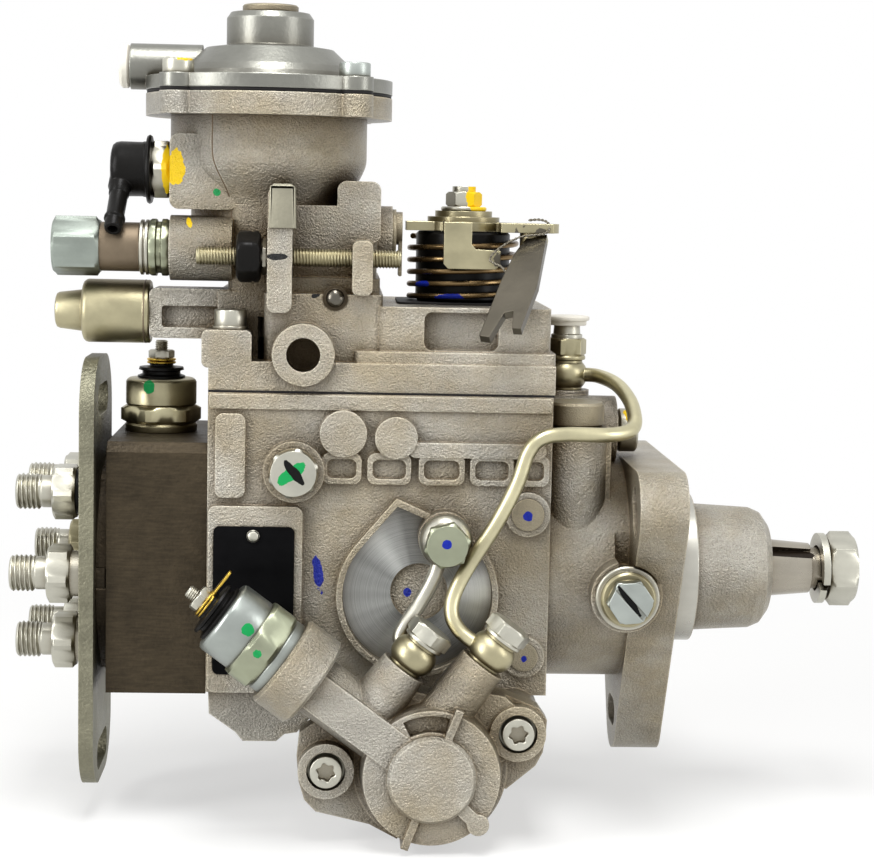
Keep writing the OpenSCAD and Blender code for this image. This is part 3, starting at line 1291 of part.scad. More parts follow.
module blank_plate() {
    plate_x = rear_x + 2.2;
    color(black) soft_block_y(plate_x, plate_x + 25.8, -box_half - 3, -box_half - 2.5, -30, 18, 2);
    color(zinc) translate([plate_x + 12.7, -box_half - 3.05, 15]) rotate([90, 0, 0])
        cylinder(r = 1.9, h = 0.8);
}

pump_housing();
distributor_head();
rear_bracket();
governor_cover();
cover_gasket();
cover_screws();
boost_cover();
boost_inlet_cap();
boost_diaphragm();
boost_spring();
boost_rod();
throttle_bush();
throttle_spring();
throttle_lever();
throttle_shaft();
stop_screw();
return_elbow();
fuel_inlet_union();
idle_cylinder();
shutoff_solenoid();
solenoid_terminals();
shutoff_plunger();
delivery_holders();
delivery_valves();
valve_springs();
timing_cover();
timing_end_cover();
timing_piston();
timing_spring();
timing_solenoid();
pipes();
banjo_bolts();
overflow_fitting();
housing_plugs();
blank_plate();
drive_shaft();
shaft_nut();
shaft_bearings();
feed_pump_ring();
feed_pump_rotor();
drive_gear();
coupling_cross();
cam_disc();
distributor_plunger();
distributor_barrel();
plunger_springs();
control_spool();
roller_ring();
cam_roller_1();
cam_roller_2();
cam_roller_3();
governor_shaft();
flyweight_cage();
flyweight_1();
flyweight_2();
flyweight_3();
flyweight_4();
sliding_sleeve();
governor_lever();
governor_spring();
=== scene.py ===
"""Looks of the diesel injection pump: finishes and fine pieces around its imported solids.

Sizes are in millimetres in the pump's own frame: the origin is the centre of the mounting flange's
front face, +X points out of the drive end, +Z up, and -Y is the side with the timing cover.
"""

from __future__ import annotations

import json
import logging
from dataclasses import dataclass, replace
from enum import Enum
from typing import Callable, Iterable, Sequence

import bpy
import numpy as np
from mathutils import Matrix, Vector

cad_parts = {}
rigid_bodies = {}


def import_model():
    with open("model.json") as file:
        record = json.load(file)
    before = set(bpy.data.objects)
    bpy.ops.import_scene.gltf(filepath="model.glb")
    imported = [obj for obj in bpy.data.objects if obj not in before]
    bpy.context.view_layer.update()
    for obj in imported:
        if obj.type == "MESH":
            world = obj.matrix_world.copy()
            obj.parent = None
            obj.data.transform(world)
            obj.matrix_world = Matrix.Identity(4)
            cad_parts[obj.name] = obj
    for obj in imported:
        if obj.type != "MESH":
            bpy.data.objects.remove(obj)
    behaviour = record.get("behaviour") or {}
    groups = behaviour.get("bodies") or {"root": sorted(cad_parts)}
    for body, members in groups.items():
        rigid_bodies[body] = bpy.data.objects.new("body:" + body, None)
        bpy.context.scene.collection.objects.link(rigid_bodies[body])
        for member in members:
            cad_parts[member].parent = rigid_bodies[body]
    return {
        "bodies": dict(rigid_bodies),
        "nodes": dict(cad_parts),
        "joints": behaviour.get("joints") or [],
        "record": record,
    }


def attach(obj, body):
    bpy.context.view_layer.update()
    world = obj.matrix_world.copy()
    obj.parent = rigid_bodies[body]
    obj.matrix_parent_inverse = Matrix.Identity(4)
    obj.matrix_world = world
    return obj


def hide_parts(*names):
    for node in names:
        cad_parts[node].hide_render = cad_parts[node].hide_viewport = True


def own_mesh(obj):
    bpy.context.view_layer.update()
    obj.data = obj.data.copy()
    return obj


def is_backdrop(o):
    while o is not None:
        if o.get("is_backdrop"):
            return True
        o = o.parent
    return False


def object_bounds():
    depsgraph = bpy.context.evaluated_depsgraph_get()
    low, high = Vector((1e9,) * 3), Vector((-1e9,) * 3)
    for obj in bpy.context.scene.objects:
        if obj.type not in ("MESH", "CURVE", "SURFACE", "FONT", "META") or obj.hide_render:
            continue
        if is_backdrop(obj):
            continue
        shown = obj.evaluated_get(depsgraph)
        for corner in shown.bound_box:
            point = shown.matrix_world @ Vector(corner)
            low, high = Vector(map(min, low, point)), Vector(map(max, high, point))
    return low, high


LOG = logging.getLogger("pump")
MM = 0.001
TAU = 2.0 * np.pi
SHARP_ANGLE = np.radians(34.0)
CHAMFER_SLOPE = 0.577
FLOOR_GAP = 0.0003
Point = Sequence[float]
Colour = tuple[float, float, float]


# Surfaces worked out with numpy


@dataclass
class Surface:
    """A piece of mesh: its points in millimetres and its faces as rows of point numbers."""

    points: np.ndarray
    faces: list[list[int]]

    def moved(self, turn: np.ndarray, at: Point) -> "Surface":
        """Turns the points by a 3x3 matrix and then shifts them in millimetres."""
        return Surface(self.points @ turn.T + np.asarray(at, float), self.faces)


def axes_for(axis: Point, spin_deg: float = 0.0) -> np.ndarray:
    """The matrix that turns +Z onto an axis, after a spin around it.

    The side directions are cross products of the axis with the world direction least along it.

    Args:
        axis: The direction that local Z takes.
        spin_deg: Turn around the axis, in degrees.

    Returns:
        A 3x3 matrix whose columns are the local X, Y and Z directions.
    """
    z = np.asarray(axis, float)
    z = z / np.linalg.norm(z)
    other = np.eye(3)[int(np.argmin(np.abs(z)))]
    x = np.cross(other, z)
    x /= np.linalg.norm(x)
    y = np.cross(z, x)
    a = np.radians(spin_deg)
    return np.column_stack([np.cos(a) * x + np.sin(a) * y, np.cos(a) * y - np.sin(a) * x, z])


def grid_faces(rows: int, steps: int, wraps: bool) -> np.ndarray:
    """The quads of a grid: each joins two neighbours of a row with the two above them.

    Args:
        rows: Number of rows.
        steps: Points in each row.
        wraps: Whether each row is a closed ring.

    Returns:
        Rows of four point numbers.
    """
    across = np.arange(steps if wraps else steps - 1)
    nxt = (across + 1) % steps
    base = (np.arange(rows - 1) * steps)[:, None]
    quads = np.stack([base + across, base + nxt, base + steps + nxt, base + steps + across], axis=-1)
    return quads.reshape(-1, 4)


# A section takes radii and heights as a column and angles as a row, and gives the radius at each.
Section = Callable[[np.ndarray, np.ndarray, np.ndarray], np.ndarray]


def plain_section(radius: np.ndarray, height: np.ndarray, angle: np.ndarray) -> np.ndarray:
    """A round section: the radius as it is."""
    return radius + 0.0 * angle


def hexagon(across_flats: float) -> Section:
    """A section cut to a hexagon: the smaller of the radius and the distance to the flat.

    Args:
        across_flats: Width of the hexagon.

    Returns:
        The section.
    """

    def cut(radius: np.ndarray, height: np.ndarray, angle: np.ndarray) -> np.ndarray:
        """The flat lies at half the width over the cosine of the angle from its middle."""
        off = np.mod(angle + np.pi / 6, np.pi / 3) - np.pi / 6
        return np.minimum(radius, across_flats / 2 / np.cos(off))

    return cut


def thread(low: float, high: float, pitch: float, depth: float) -> Section:
    """A section with a screw thread: the radius less a triangle wave of height minus turn.

    Args:
        low: Height where the thread starts.
        high: Height where it ends.
        pitch: Its rise in one turn.
        depth: Its depth.

    Returns:
        The section.
    """

    def cut(radius: np.ndarray, height: np.ndarray, angle: np.ndarray) -> np.ndarray:
        """The wave runs along the height and shifts by one pitch in each turn."""
        wave = np.abs(2.0 * np.mod(height / pitch - angle / TAU, 1.0) - 1.0)
        return radius - np.where((height > low) & (height < high), depth * wave, 0.0)

    return cut


def ridged(low: float, high: float, count: int, depth: float) -> Section:
    """A section with straight ridges: the radius less a cosine wave around the turn.

    Args:
        low: Height where the ridges start.
        high: Height where they end.
        count: Number of ridges.
        depth: Their depth.

    Returns:
        The section.
    """

    def cut(radius: np.ndarray, height: np.ndarray, angle: np.ndarray) -> np.ndarray:
        """The wave has count crests between the two heights."""
        inside = (height > low) & (height < high)
        return radius - np.where(inside, depth * (0.5 - 0.5 * np.cos(count * angle)), 0.0)

    return cut


def star_socket(outer: float, depth: float, lobes: int) -> Section:
    """A section whose rows inside a radius wave in and out, as in a screw head's star socket.

    Args:
        outer: The socket's radius.
        depth: How far the wave goes in.
        lobes: Number of lobes.

    Returns:
        The section.
    """

    def cut(radius: np.ndarray, height: np.ndarray, angle: np.ndarray) -> np.ndarray:
        """Rows at the socket's radius shrink by a cosine wave with the given lobes."""
        inside = (radius > 0.2) & (radius <= outer + 1e-6)
        return radius - np.where(inside, depth * (0.5 - 0.5 * np.cos(lobes * angle)), 0.0)

    return cut


def hex_socket(outer: float) -> Section:
    """A section whose rows inside a radius are cut to a hexagon, as in a screw head's socket.

    Args:
        outer: The socket's radius over its corners.

    Returns:
        The section.
    """
    flat = hexagon(2 * outer * np.cos(np.pi / 6))

    def cut(radius: np.ndarray, height: np.ndarray, angle: np.ndarray) -> np.ndarray:
        """Rows at the socket's radius follow the hexagon."""
        inside = radius <= outer + 1e-6
        return np.where(inside, flat(radius, height, angle), radius + 0.0 * angle)

    return cut


def turned(profile: Iterable[Point], steps: int = 48, section: Section = plain_section,
           fine: float = 0.0) -> Surface:
    """A surface turned around Z: each profile point is a ring of that radius and height.

    Args:
        profile: Radius and height pairs, from the axis at one end to the axis at the other.
        steps: Points around each ring.
        section: Changes the radius by height and angle.
        fine: Where above 0, the largest rise between rows, so that a thread has rows enough.

    Returns:
        The closed surface, its poles joined to one point each.
    """
    rows = np.asarray(list(profile), float)
    if fine > 0:
        dense = [rows[:1]]
        for a, b in zip(rows[:-1], rows[1:]):
            n = max(1, int(np.ceil(abs(b[1] - a[1]) / fine)))
            dense.append(a + (b - a) * (np.arange(1, n + 1) / n)[:, None])
        rows = np.vstack(dense)
    angle = np.arange(steps) * TAU / steps
    radius = section(rows[1:-1, :1], rows[1:-1, 1:], angle[None, :])
    height = np.broadcast_to(rows[1:-1, 1:], radius.shape)
    ring = np.stack([radius * np.cos(angle), radius * np.sin(angle), height], axis=-1)
    points = np.vstack([ring.reshape(-1, 3), [[0, 0, rows[0, 1]], [0, 0, rows[-1, 1]]]])
    count = len(rows) - 2
    faces = grid_faces(count, steps, True).tolist()
    first, last = count * steps, count * steps + 1
    k = np.arange(steps)
    nxt = (k + 1) % steps
    faces += np.stack([nxt, k, np.full(steps, first)], axis=1).tolist()
    top = (count - 1) * steps
    faces += np.stack([top + k, top + nxt, np.full(steps, last)], axis=1).tolist()
    return Surface(points, faces)


def smooth_path(points: Sequence[Point], per_span: int = 8) -> np.ndarray:
    """Points on a smooth curve through a route: between two points, the cubic of the four around them.

    Args:
        points: The route.
        per_span: Points made between two neighbours.

    Returns:
        The curve's points.
    """
    p = np.asarray(points, float)
    ends = np.vstack([p[:1], p, p[-1:]])
    t = (np.arange(per_span) / per_span)[None, :, None]
    a, b, c, d = (ends[i:len(ends) - 3 + i, None, :] for i in range(4))
    spans = 0.5 * (2 * b + (c - a) * t + (2 * a - 5 * b + 4 * c - d) * t**2
                   + (3 * b - a - 3 * c + d) * t**3)
    return np.vstack([spans.reshape(-1, 3), p[-1:]])


def tube(path: np.ndarray, radius: float | np.ndarray, steps: int = 16) -> Surface:
    """A round tube: at each path point a circle across the path, in a frame carried along it.

    Args:
        path: The centre line's points.
        radius: One radius, or one for each point.
        steps: Points around each circle.

    Returns:
        The tube with closed ends.
    """
    path = np.asarray(path, float)
    along = np.gradient(path, axis=0)
    along /= np.linalg.norm(along, axis=1, keepdims=True)
    side = np.zeros_like(along)
    start = np.eye(3)[int(np.argmin(np.abs(along[0])))]
    side[0] = np.cross(along[0], start)
    side[0] /= np.linalg.norm(side[0])
    for i in range(1, len(path)):
        side[i] = side[i - 1] - along[i] * np.dot(side[i - 1], along[i])
        side[i] /= np.linalg.norm(side[i])
    up = np.cross(along, side)
    angle = np.arange(steps) * TAU / steps
    r = np.broadcast_to(np.asarray(radius, float), (len(path),))[:, None, None]
    ring = path[:, None, :] + r * (side[:, None, :] * np.cos(angle)[None, :, None]
                                   + up[:, None, :] * np.sin(angle)[None, :, None])
    faces = grid_faces(len(path), steps, True).tolist()
    end = (len(path) - 1) * steps
    faces += [list(range(steps - 1, -1, -1)), list(range(end, end + steps))]
    return Surface(ring.reshape(-1, 3), faces)


def helix(radius: float, rise: float, turns: float, start_deg: float, per_turn: int) -> np.ndarray:
    """Points on a helix around Z: angle and height grow evenly together.

    Args:
        radius: Its radius.
        rise: Its rise in one turn.
        turns: Number of turns.
        start_deg: Where it starts, in degrees.
        per_turn: Points in one turn.

    Returns:
        The points.
    """
    a = np.linspace(0, turns * TAU, int(turns * per_turn) + 1)
    return np.column_stack([radius * np.cos(a + np.radians(start_deg)),
                            radius * np.sin(a + np.radians(start_deg)), rise * a / TAU])


def slab(outline: Sequence[Point], low: float, high: float, round_by: float) -> Surface:
    """A plate with softened rims: each corner moves in along the mean of its two edge normals.

    Args:
        outline: The rim's corners, counterclockwise.
        low: Height of the lower face.
        high: Height of the upper face.
        round_by: How far the rims are drawn in.

    Returns:
        The plate.
    """
    p = np.asarray(outline, float)
    ahead = np.roll(p, -1, axis=0) - p
    behind = p - np.roll(p, 1, axis=0)
    normal = np.column_stack([ahead[:, 1] + behind[:, 1], -ahead[:, 0] - behind[:, 0]])
    normal /= np.linalg.norm(normal, axis=1, keepdims=True)
    shoulder = round_by * 0.3
    levels = ((round_by, low), (shoulder, low + shoulder), (0.0, low + round_by), (0.0, high - round_by),
              (shoulder, high - shoulder), (round_by, high))
    n = len(p)
    rows = [np.column_stack([p - normal * inset, np.full(n, z)]) for inset, z in levels]
    faces = grid_faces(len(rows), n, True).tolist()
    top = (len(rows) - 1) * n
    faces += [list(range(n - 1, -1, -1)), list(range(top, top + n))]
    return Surface(np.vstack(rows), faces)


# Materials


MIX_FACTOR, MIX_A, MIX_B, MIX_RESULT = 0, 6, 7, 2
# Brown tint of the painted shade in crevices and gaps between parts.
CREVICE_SHADE_TINT: Colour = (0.24, 0.18, 0.11)
GRAIN_HEIGHT = 0.0006
CREVICE_REACH = 0.012


class Nodes:
    """Adds nodes and links to one node tree."""

    def __init__(self, tree: bpy.types.NodeTree) -> None:
        """Keeps the tree."""
        self.tree = tree

    def add(self, kind: str, inputs: dict | None = None, **settings: object) -> bpy.types.Node:
        """Adds a node, sets its properties, and sets or links its inputs.

        Args:
            kind: The node's class without its ShaderNode prefix.
            inputs: Input name or number to a value or to an output socket.
            settings: Properties of the node.

        Returns:
            The node.
        """
        node = self.tree.nodes.new("ShaderNode" + kind)
        for key, value in settings.items():
            setattr(node, key, value)
        for key, value in (inputs or {}).items():
            socket = node.inputs[key]
            if isinstance(value, bpy.types.NodeSocket):
                self.tree.links.new(value, socket)
            else:
                socket.default_value = value
        return node

    def group(self, effect: "Effect", maker: Callable[[], bpy.types.NodeTree]) -> bpy.types.Node:
        """Adds a shared node group, and makes the group the first time."""
        tree = bpy.data.node_groups.get(effect.value) or maker()
        return self.add("Group", node_tree=tree)

    def mix(self, factor: object, a: object, b: object, blend: str = "MIX") -> bpy.types.NodeSocket:
        """Mixes two colours.

        Args:
            factor: Share of the second colour, a number or a socket.
            a: The first colour or its socket.
            b: The second colour or its socket.
            blend: How the second meets the first.

        Returns:
            The socket of the mixed colour.
        """
        inputs = {MIX_FACTOR: factor, MIX_A: a, MIX_B: b}
        inputs = {key: (*value, 1.0) if isinstance(value, tuple) else value for key, value in inputs.items()}
        return self.add("Mix", inputs, data_type="RGBA", blend_type=blend).outputs[MIX_RESULT]

    def maths(self, operation: str, a: object, b: object = 0.0, clamp: bool = False) -> bpy.types.NodeSocket:
        """Works out one sum and returns the result."""
        return self.add("Math", {0: a, 1: b}, operation=operation, use_clamp=clamp).outputs[0]

    def ramp(self, value: object, low: float, high: float, to_low: float = 0.0,
             to_high: float = 1.0) -> bpy.types.NodeSocket:
        """Maps a value from one range to another, held at its ends."""
        node = self.add("MapRange", {0: value, 1: low, 2: high, 3: to_low, 4: to_high})
        return node.outputs[0]


class Effect(Enum):
    """The node groups that the finishes share."""

    METAL_SKIN = "metal_skin"
    PAINT_DAB = "paint_dab"
    TURNING = "turning_marks"


SKIN_VALUES = ("Edge Radius", "Grain Scale", "Grain Depth", "Pit Amount", "Patch Amount", "Edge Highlight",
               "Crevice Shade", "Roughness", "Roughness Spread", "Streak Scale", "Tint Amount")


def new_group(effect: Effect, inputs: dict[str, str],
              outputs: dict[str, str]) -> tuple[Nodes, bpy.types.Node, bpy.types.Node]:
    """Starts a node group with its sockets.

    Args:
        effect: What the group does.
        inputs: The kind of each input by its name.
        outputs: The kind of each output by its name.

    Returns:
        The group's nodes, its input node and its output node.
    """
    tree = bpy.data.node_groups.new(effect.value, "ShaderNodeTree")
    for way, sockets in (("INPUT", inputs), ("OUTPUT", outputs)):
        for name, kind in sockets.items():
            tree.interface.new_socket(name=name, in_out=way, socket_type="NodeSocket" + kind)
    return Nodes(tree), tree.nodes.new("NodeGroupInput"), tree.nodes.new("NodeGroupOutput")


def emptied(owner: bpy.types.Material | bpy.types.World) -> Nodes:
    """Switches on the nodes of a material or a world, and clears them.

    Args:
        owner: The material or the world.

    Returns:
        Its nodes.
    """
    owner.use_nodes = True
    owner.node_tree.nodes.clear()
    return Nodes(owner.node_tree)


def placed(name: str, data: bpy.types.ID) -> bpy.types.Object:
    """Makes an object in the scene.

    Args:
        name: The object's name.
        data: Its mesh, camera or light.

    Returns:
        The object.
    """
    made = bpy.data.objects.new(name, data)
    bpy.context.scene.collection.objects.link(made)
    return made


def metal_skin_group() -> bpy.types.NodeTree:
    """Builds the group that every metal finish uses.

    It softens edges with a bevelled normal, adds grain as bump, paints highlights onto edges, paints
    brown-tinted shade into crevices, and varies the colour and roughness in cloudy patches.

    Returns:
        The node group.
    """
    inputs = {"Colour": "Color", "Tint": "Color", **dict.fromkeys(SKIN_VALUES, "Float")}
    outputs = {"Colour": "Color", "Roughness": "Float", "Normal": "Vector"}
    n, inp, out = new_group(Effect.METAL_SKIN, inputs, outputs)
    place = n.add("TexCoord").outputs["Object"]
    geometry = n.add("NewGeometry")
    bevel = n.add("Bevel", {"Radius": inp.outputs["Edge Radius"]}, samples=6)
    fine = n.add("TexNoise", {"Vector": place, "Scale": inp.outputs["Grain Scale"], "Detail": 3.0,
                              "Roughness": 0.6})
    coarse = n.maths("MULTIPLY", inp.outputs["Grain Scale"], 0.65)
    pits = n.add("TexVoronoi", {"Vector": place, "Scale": coarse}, feature="SMOOTH_F1")
    patch = n.add("TexNoise", {"Vector": place, "Scale": 45.0, "Detail": 4.0, "Roughness": 0.65})
    # The streaks are a noise stretched along X, as wiping and handling leave them.
    stretched = n.add("Mapping", {"Vector": place, "Scale": (0.12, 1.0, 1.0)})
    streak = n.add("TexNoise", {"Vector": stretched.outputs[0], "Scale": inp.outputs["Streak Scale"],
                                "Detail": 3.0})
    height = n.maths("ADD", fine.outputs["Fac"],
                     n.maths("MULTIPLY", pits.outputs["Distance"], inp.outputs["Pit Amount"]))
    bump = n.add("Bump", {"Strength": inp.outputs["Grain Depth"], "Distance": GRAIN_HEIGHT, "Height": height,
                          "Normal": bevel.outputs["Normal"]})
    # An edge is where the bevelled normal leaves the true one.
    turn = n.add("VectorMath", {0: bevel.outputs["Normal"], 1: geometry.outputs["Normal"]},
                 operation="DOT_PRODUCT")
    edge = n.ramp(turn.outputs["Value"], 0.999, 0.90)
    # Painted shade: ambient occlusion finds crevices and gaps between parts, and the colour there is darkened
    # towards a brown tint.
    crevice = n.add("AmbientOcclusion", {"Distance": CREVICE_REACH}, samples=6, only_local=False)
    dark = n.ramp(crevice.outputs["AO"], 0.25, 0.95, 1.0, 0.0)
    cloud = n.ramp(patch.outputs["Fac"], 0.3, 0.7, -1.0, 1.0)
    level = n.maths("ADD", 1.0, n.maths("MULTIPLY", cloud, inp.outputs["Patch Amount"]))
    # Painted highlight: edges are lightened where the bevelled normal turns away from the true one.
    level = n.maths("ADD", level, n.maths("MULTIPLY", edge, inp.outputs["Edge Highlight"]))
    streaky = n.ramp(streak.outputs["Fac"], 0.35, 0.65, -0.5, 0.5)
    level = n.maths("ADD", level, n.maths("MULTIPLY", streaky, inp.outputs["Patch Amount"]))
    # The grain also lightens and darkens the colour.
    sparkle = n.ramp(fine.outputs["Fac"], 0.35, 0.65, -0.15, 0.15)
    level = n.maths("ADD", level, n.maths("MULTIPLY", sparkle, inp.outputs["Grain Depth"]))
    broad = n.add("TexNoise", {"Vector": place, "Scale": 26.0, "Detail": 5.0, "Roughness": 0.6})
    film = n.maths("MULTIPLY", n.ramp(broad.outputs["Fac"], 0.38, 0.62), inp.outputs["Tint Amount"])
    tinted = n.mix(film, inp.outputs["Colour"], inp.outputs["Tint"])
    scaled = n.add("VectorMath", {0: tinted, 3: level}, operation="SCALE")
    # The painted shade's colour: the scaled colour times the brown tint.
    shade_tint = n.add("VectorMath", {0: scaled.outputs[0], 1: CREVICE_SHADE_TINT}, operation="MULTIPLY")
    shade = n.maths("MULTIPLY", dark, inp.outputs["Crevice Shade"], clamp=True)
    shaded_colour = n.mix(shade, scaled.outputs[0], shade_tint.outputs[0])
    rough = n.maths("ADD", inp.outputs["Roughness"],
                    n.maths("MULTIPLY", cloud, inp.outputs["Roughness Spread"]))
    for name, made in (("Colour", shaded_colour), ("Roughness", rough), ("Normal", bump.outputs["Normal"])):
        n.tree.links.new(made, out.inputs[name])
    return n.tree


def paint_dab_group() -> bpy.types.NodeTree:
    """Builds the group for one dab of paint: a mask that ends where a noisy distance passes one.

    Returns:
        The node group.
    """
    inputs = {"Centre": "Vector", "Scale": "Vector", "Turn": "Float"}
    n, inp, out = new_group(Effect.PAINT_DAB, inputs, {"Mask": "Float"})
    place = n.add("TexCoord").outputs["Object"]
    off = n.add("VectorMath", {0: place, 1: inp.outputs["Centre"]}, operation="SUBTRACT")
    turned_off = n.add("VectorRotate", {"Vector": off.outputs[0], "Angle": inp.outputs["Turn"]},
                       rotation_type="Y_AXIS")
    scaled = n.add("VectorMath", {0: turned_off.outputs[0], 1: inp.outputs["Scale"]}, operation="MULTIPLY")
    far = n.add("VectorMath", {0: scaled.outputs[0]}, operation="LENGTH")
    noise = n.add("TexNoise", {"Vector": place, "Scale": 420.0, "Detail": 3.0})
    ragged = n.maths("ADD", far.outputs["Value"], n.ramp(noise.outputs["Fac"], 0.3, 0.7, -0.15, 0.15))
    n.tree.links.new(n.ramp(ragged, 0.96, 1.0, 1.0, 0.0), out.inputs["Mask"])
    return n.tree


def turning_and_sheen_group() -> bpy.types.NodeTree:
    """Builds the group for a face turned around an axis along Y.

    Fine rings follow a noise of the radius, and broad bright and dark wedges, a painted reflection, follow a
    noise of the direction.

    Returns:
        The node group.
    """
    n, inp, out = new_group(Effect.TURNING, {"Centre": "Vector"}, {"Colour": "Color"})
    place = n.add("TexCoord").outputs["Object"]
    off = n.add("VectorMath", {0: place, 1: inp.outputs["Centre"]}, operation="SUBTRACT")
    far = n.add("VectorMath", {0: off.outputs[0]}, operation="LENGTH")
    way = n.add("VectorMath", {0: off.outputs[0]}, operation="NORMALIZE")
    rings = n.add("TexNoise", {"W": far.outputs["Value"], "Scale": 2600.0, "Detail": 2.0},
                  noise_dimensions="1D")
    # Painted reflection: wedges of brighter and darker colour by direction stand in for the turned face's
    # streaked reflection.
    reflection_wedges = n.add("TexNoise", {"Vector": way.outputs[0], "Scale": 1.5, "Detail": 1.5})
    level = n.maths("ADD", n.ramp(rings.outputs["Fac"], 0.3, 0.7, 0.86, 1.08),
                    n.ramp(reflection_wedges.outputs["Fac"], 0.36, 0.66, -0.38, 0.5))
    grey = n.add("CombineColor", {0: level, 1: level, 2: level})
    n.tree.links.new(grey.outputs[0], out.inputs["Colour"])
    return n.tree


@dataclass(frozen=True)
class Mark:
    """A dab of colour on a piece.

    Attributes:
        at: Its centre in the pump's frame.
        half: The half lengths of its ellipsoid.
        colour: Its colour.
        turn_deg: Its turn around Y.
        metal: How metallic it is.
    """

    at: Point
    half: Point
    colour: Colour
    turn_deg: float = 0.0
    metal: float = 0.0


@dataclass(frozen=True)
class Finish:
    """One surface finish: its colour and how its skin is worked, edges in millimetres."""

    name: str
    colour: Colour
    metallic: float = 1.0
    roughness: float = 0.4
    spread: float = 0.08
    grain_scale: float = 900.0
    grain_depth: float = 0.15
    pits: float = 0.0
    patches: float = 0.08
    edge_mm: float = 0.5
    # The edge value paints highlights onto edges, and the crevice value paints shade into crevices.
    edge_light: float = 0.2
    crevice: float = 0.5
    streaks: float = 120.0
    specular: float = 0.15
    tint: Colour = (0.5, 0.5, 0.5)
    tint_amount: float = 0.0
    marks: tuple[Mark, ...] = ()
    swirl: Point | None = None

    def marked(self, name: str, *marks: Mark) -> "Finish":
        """The same finish under another name, with dabs of paint on it."""
        return replace(self, name=name, marks=marks)

    def like(self, name: str, colour: Colour, **changes: float) -> "Finish":
        """The same finish under another name and colour, with the given values changed."""
        return replace(self, name=name, colour=colour, **changes)

    def material(self) -> bpy.types.Material:
        """Builds the finish's material from the shared skin group and its marks, once for each name.

        Returns:
            The material.
        """
        made = bpy.data.materials.get(self.name)
        if made:
            return made
        made = bpy.data.materials.new(self.name)
        n = emptied(made)
        skin = n.group(Effect.METAL_SKIN, metal_skin_group)
        values = {"Colour": (*self.colour, 1.0), "Edge Radius": self.edge_mm * MM,
                  "Grain Scale": self.grain_scale, "Grain Depth": self.grain_depth, "Pit Amount": self.pits,
                  "Patch Amount": self.patches, "Edge Highlight": self.edge_light, "Crevice Shade": self.crevice,
                  "Roughness": self.roughness, "Roughness Spread": self.spread, "Streak Scale": self.streaks,
                  "Tint": (*self.tint, 1.0), "Tint Amount": self.tint_amount}
        for key, value in values.items():
            skin.inputs[key].default_value = value
        colour, metal = skin.outputs["Colour"], self.metallic
        if self.swirl:
            # Turning marks, with a painted reflection in wedges.
            marks = n.group(Effect.TURNING, turning_and_sheen_group)
            marks.inputs["Centre"].default_value = [v * MM for v in self.swirl]
            colour = n.mix(1.0, colour, marks.outputs["Colour"], "MULTIPLY")
        for mark in self.marks:
            dab = n.group(Effect.PAINT_DAB, paint_dab_group)
            dab.inputs["Centre"].default_value = [v * MM for v in mark.at]
            dab.inputs["Scale"].default_value = [1.0 / (v * MM) for v in mark.half]
            dab.inputs["Turn"].default_value = np.radians(mark.turn_deg)
            colour = n.mix(dab.outputs["Mask"], colour, mark.colour)
            bare = n.maths("MULTIPLY", metal, n.maths("SUBTRACT", 1.0, dab.outputs["Mask"]))
            metal = n.maths("ADD", bare, n.maths("MULTIPLY", dab.outputs["Mask"], mark.metal))
        shader = n.add("BsdfPrincipled", {"Base Color": colour, "Roughness": skin.outputs["Roughness"],
                                          "Normal": skin.outputs["Normal"], "Metallic": metal,
                                          "Specular IOR Level": self.specular})
        end = n.add("OutputMaterial")
        made.node_tree.links.new(shader.outputs["BSDF"], end.inputs["Surface"])
        return made


PAINT_YELLOW: Colour = (0.86, 0.58, 0.01)
PAINT_GREEN: Colour = (0.01, 0.30, 0.08)
PAINT_BLUE: Colour = (0.008, 0.02, 0.30)
PAINT_BLACK: Colour = (0.004, 0.004, 0.004)
DARK_BAR: Colour = (0.115, 0.103, 0.080)
KEYWAY_DARK: Colour = (0.02, 0.013, 0.008)

CAST = Finish("cast_aluminium_skin", (0.315, 0.272, 0.195), metallic=0.76, roughness=0.34, spread=0.06,
              grain_scale=2000.0, grain_depth=1.0, pits=0.6, patches=0.16, edge_mm=0.9, edge_light=0.7,
              crevice=1.0, specular=0.3, tint=(0.385, 0.372, 0.335), tint_amount=0.8)
PLUG_SKIN = Finish("pressed_plug_skin", (0.30, 0.265, 0.19), metallic=0.8, roughness=0.36, spread=0.06,
                   grain_scale=2600.0, grain_depth=0.5, pits=0.3, patches=0.12, edge_light=0.4, crevice=0.9)
CAST_SMOOTH = Finish("smooth_cast_skin", (0.235, 0.235, 0.21), metallic=0.9, roughness=0.36, spread=0.05,
                     grain_depth=0.14, pits=0.2, patches=0.10, edge_mm=0.7, edge_light=0.5, crevice=0.9)
TURNED = Finish("turned_aluminium", (0.52, 0.51, 0.46), metallic=0.95, roughness=0.30, spread=0.04,
                grain_scale=500.0, grain_depth=0.04, patches=0.10, edge_mm=0.2, crevice=0.6)
# The recess floor's finish: turning rings and a painted reflection in wedges.
SWIRLED = Finish("swirled_aluminium", (0.36, 0.365, 0.35), metallic=0.95, roughness=0.34, spread=0.06,
                 grain_scale=400.0, grain_depth=0.05, patches=0.12, edge_mm=0.2, crevice=0.8,
                 swirl=(-84.4, -37.0, -4.0))
PARTING = Finish("parting_line", (0.16, 0.12, 0.08), metallic=0.5, roughness=0.5)

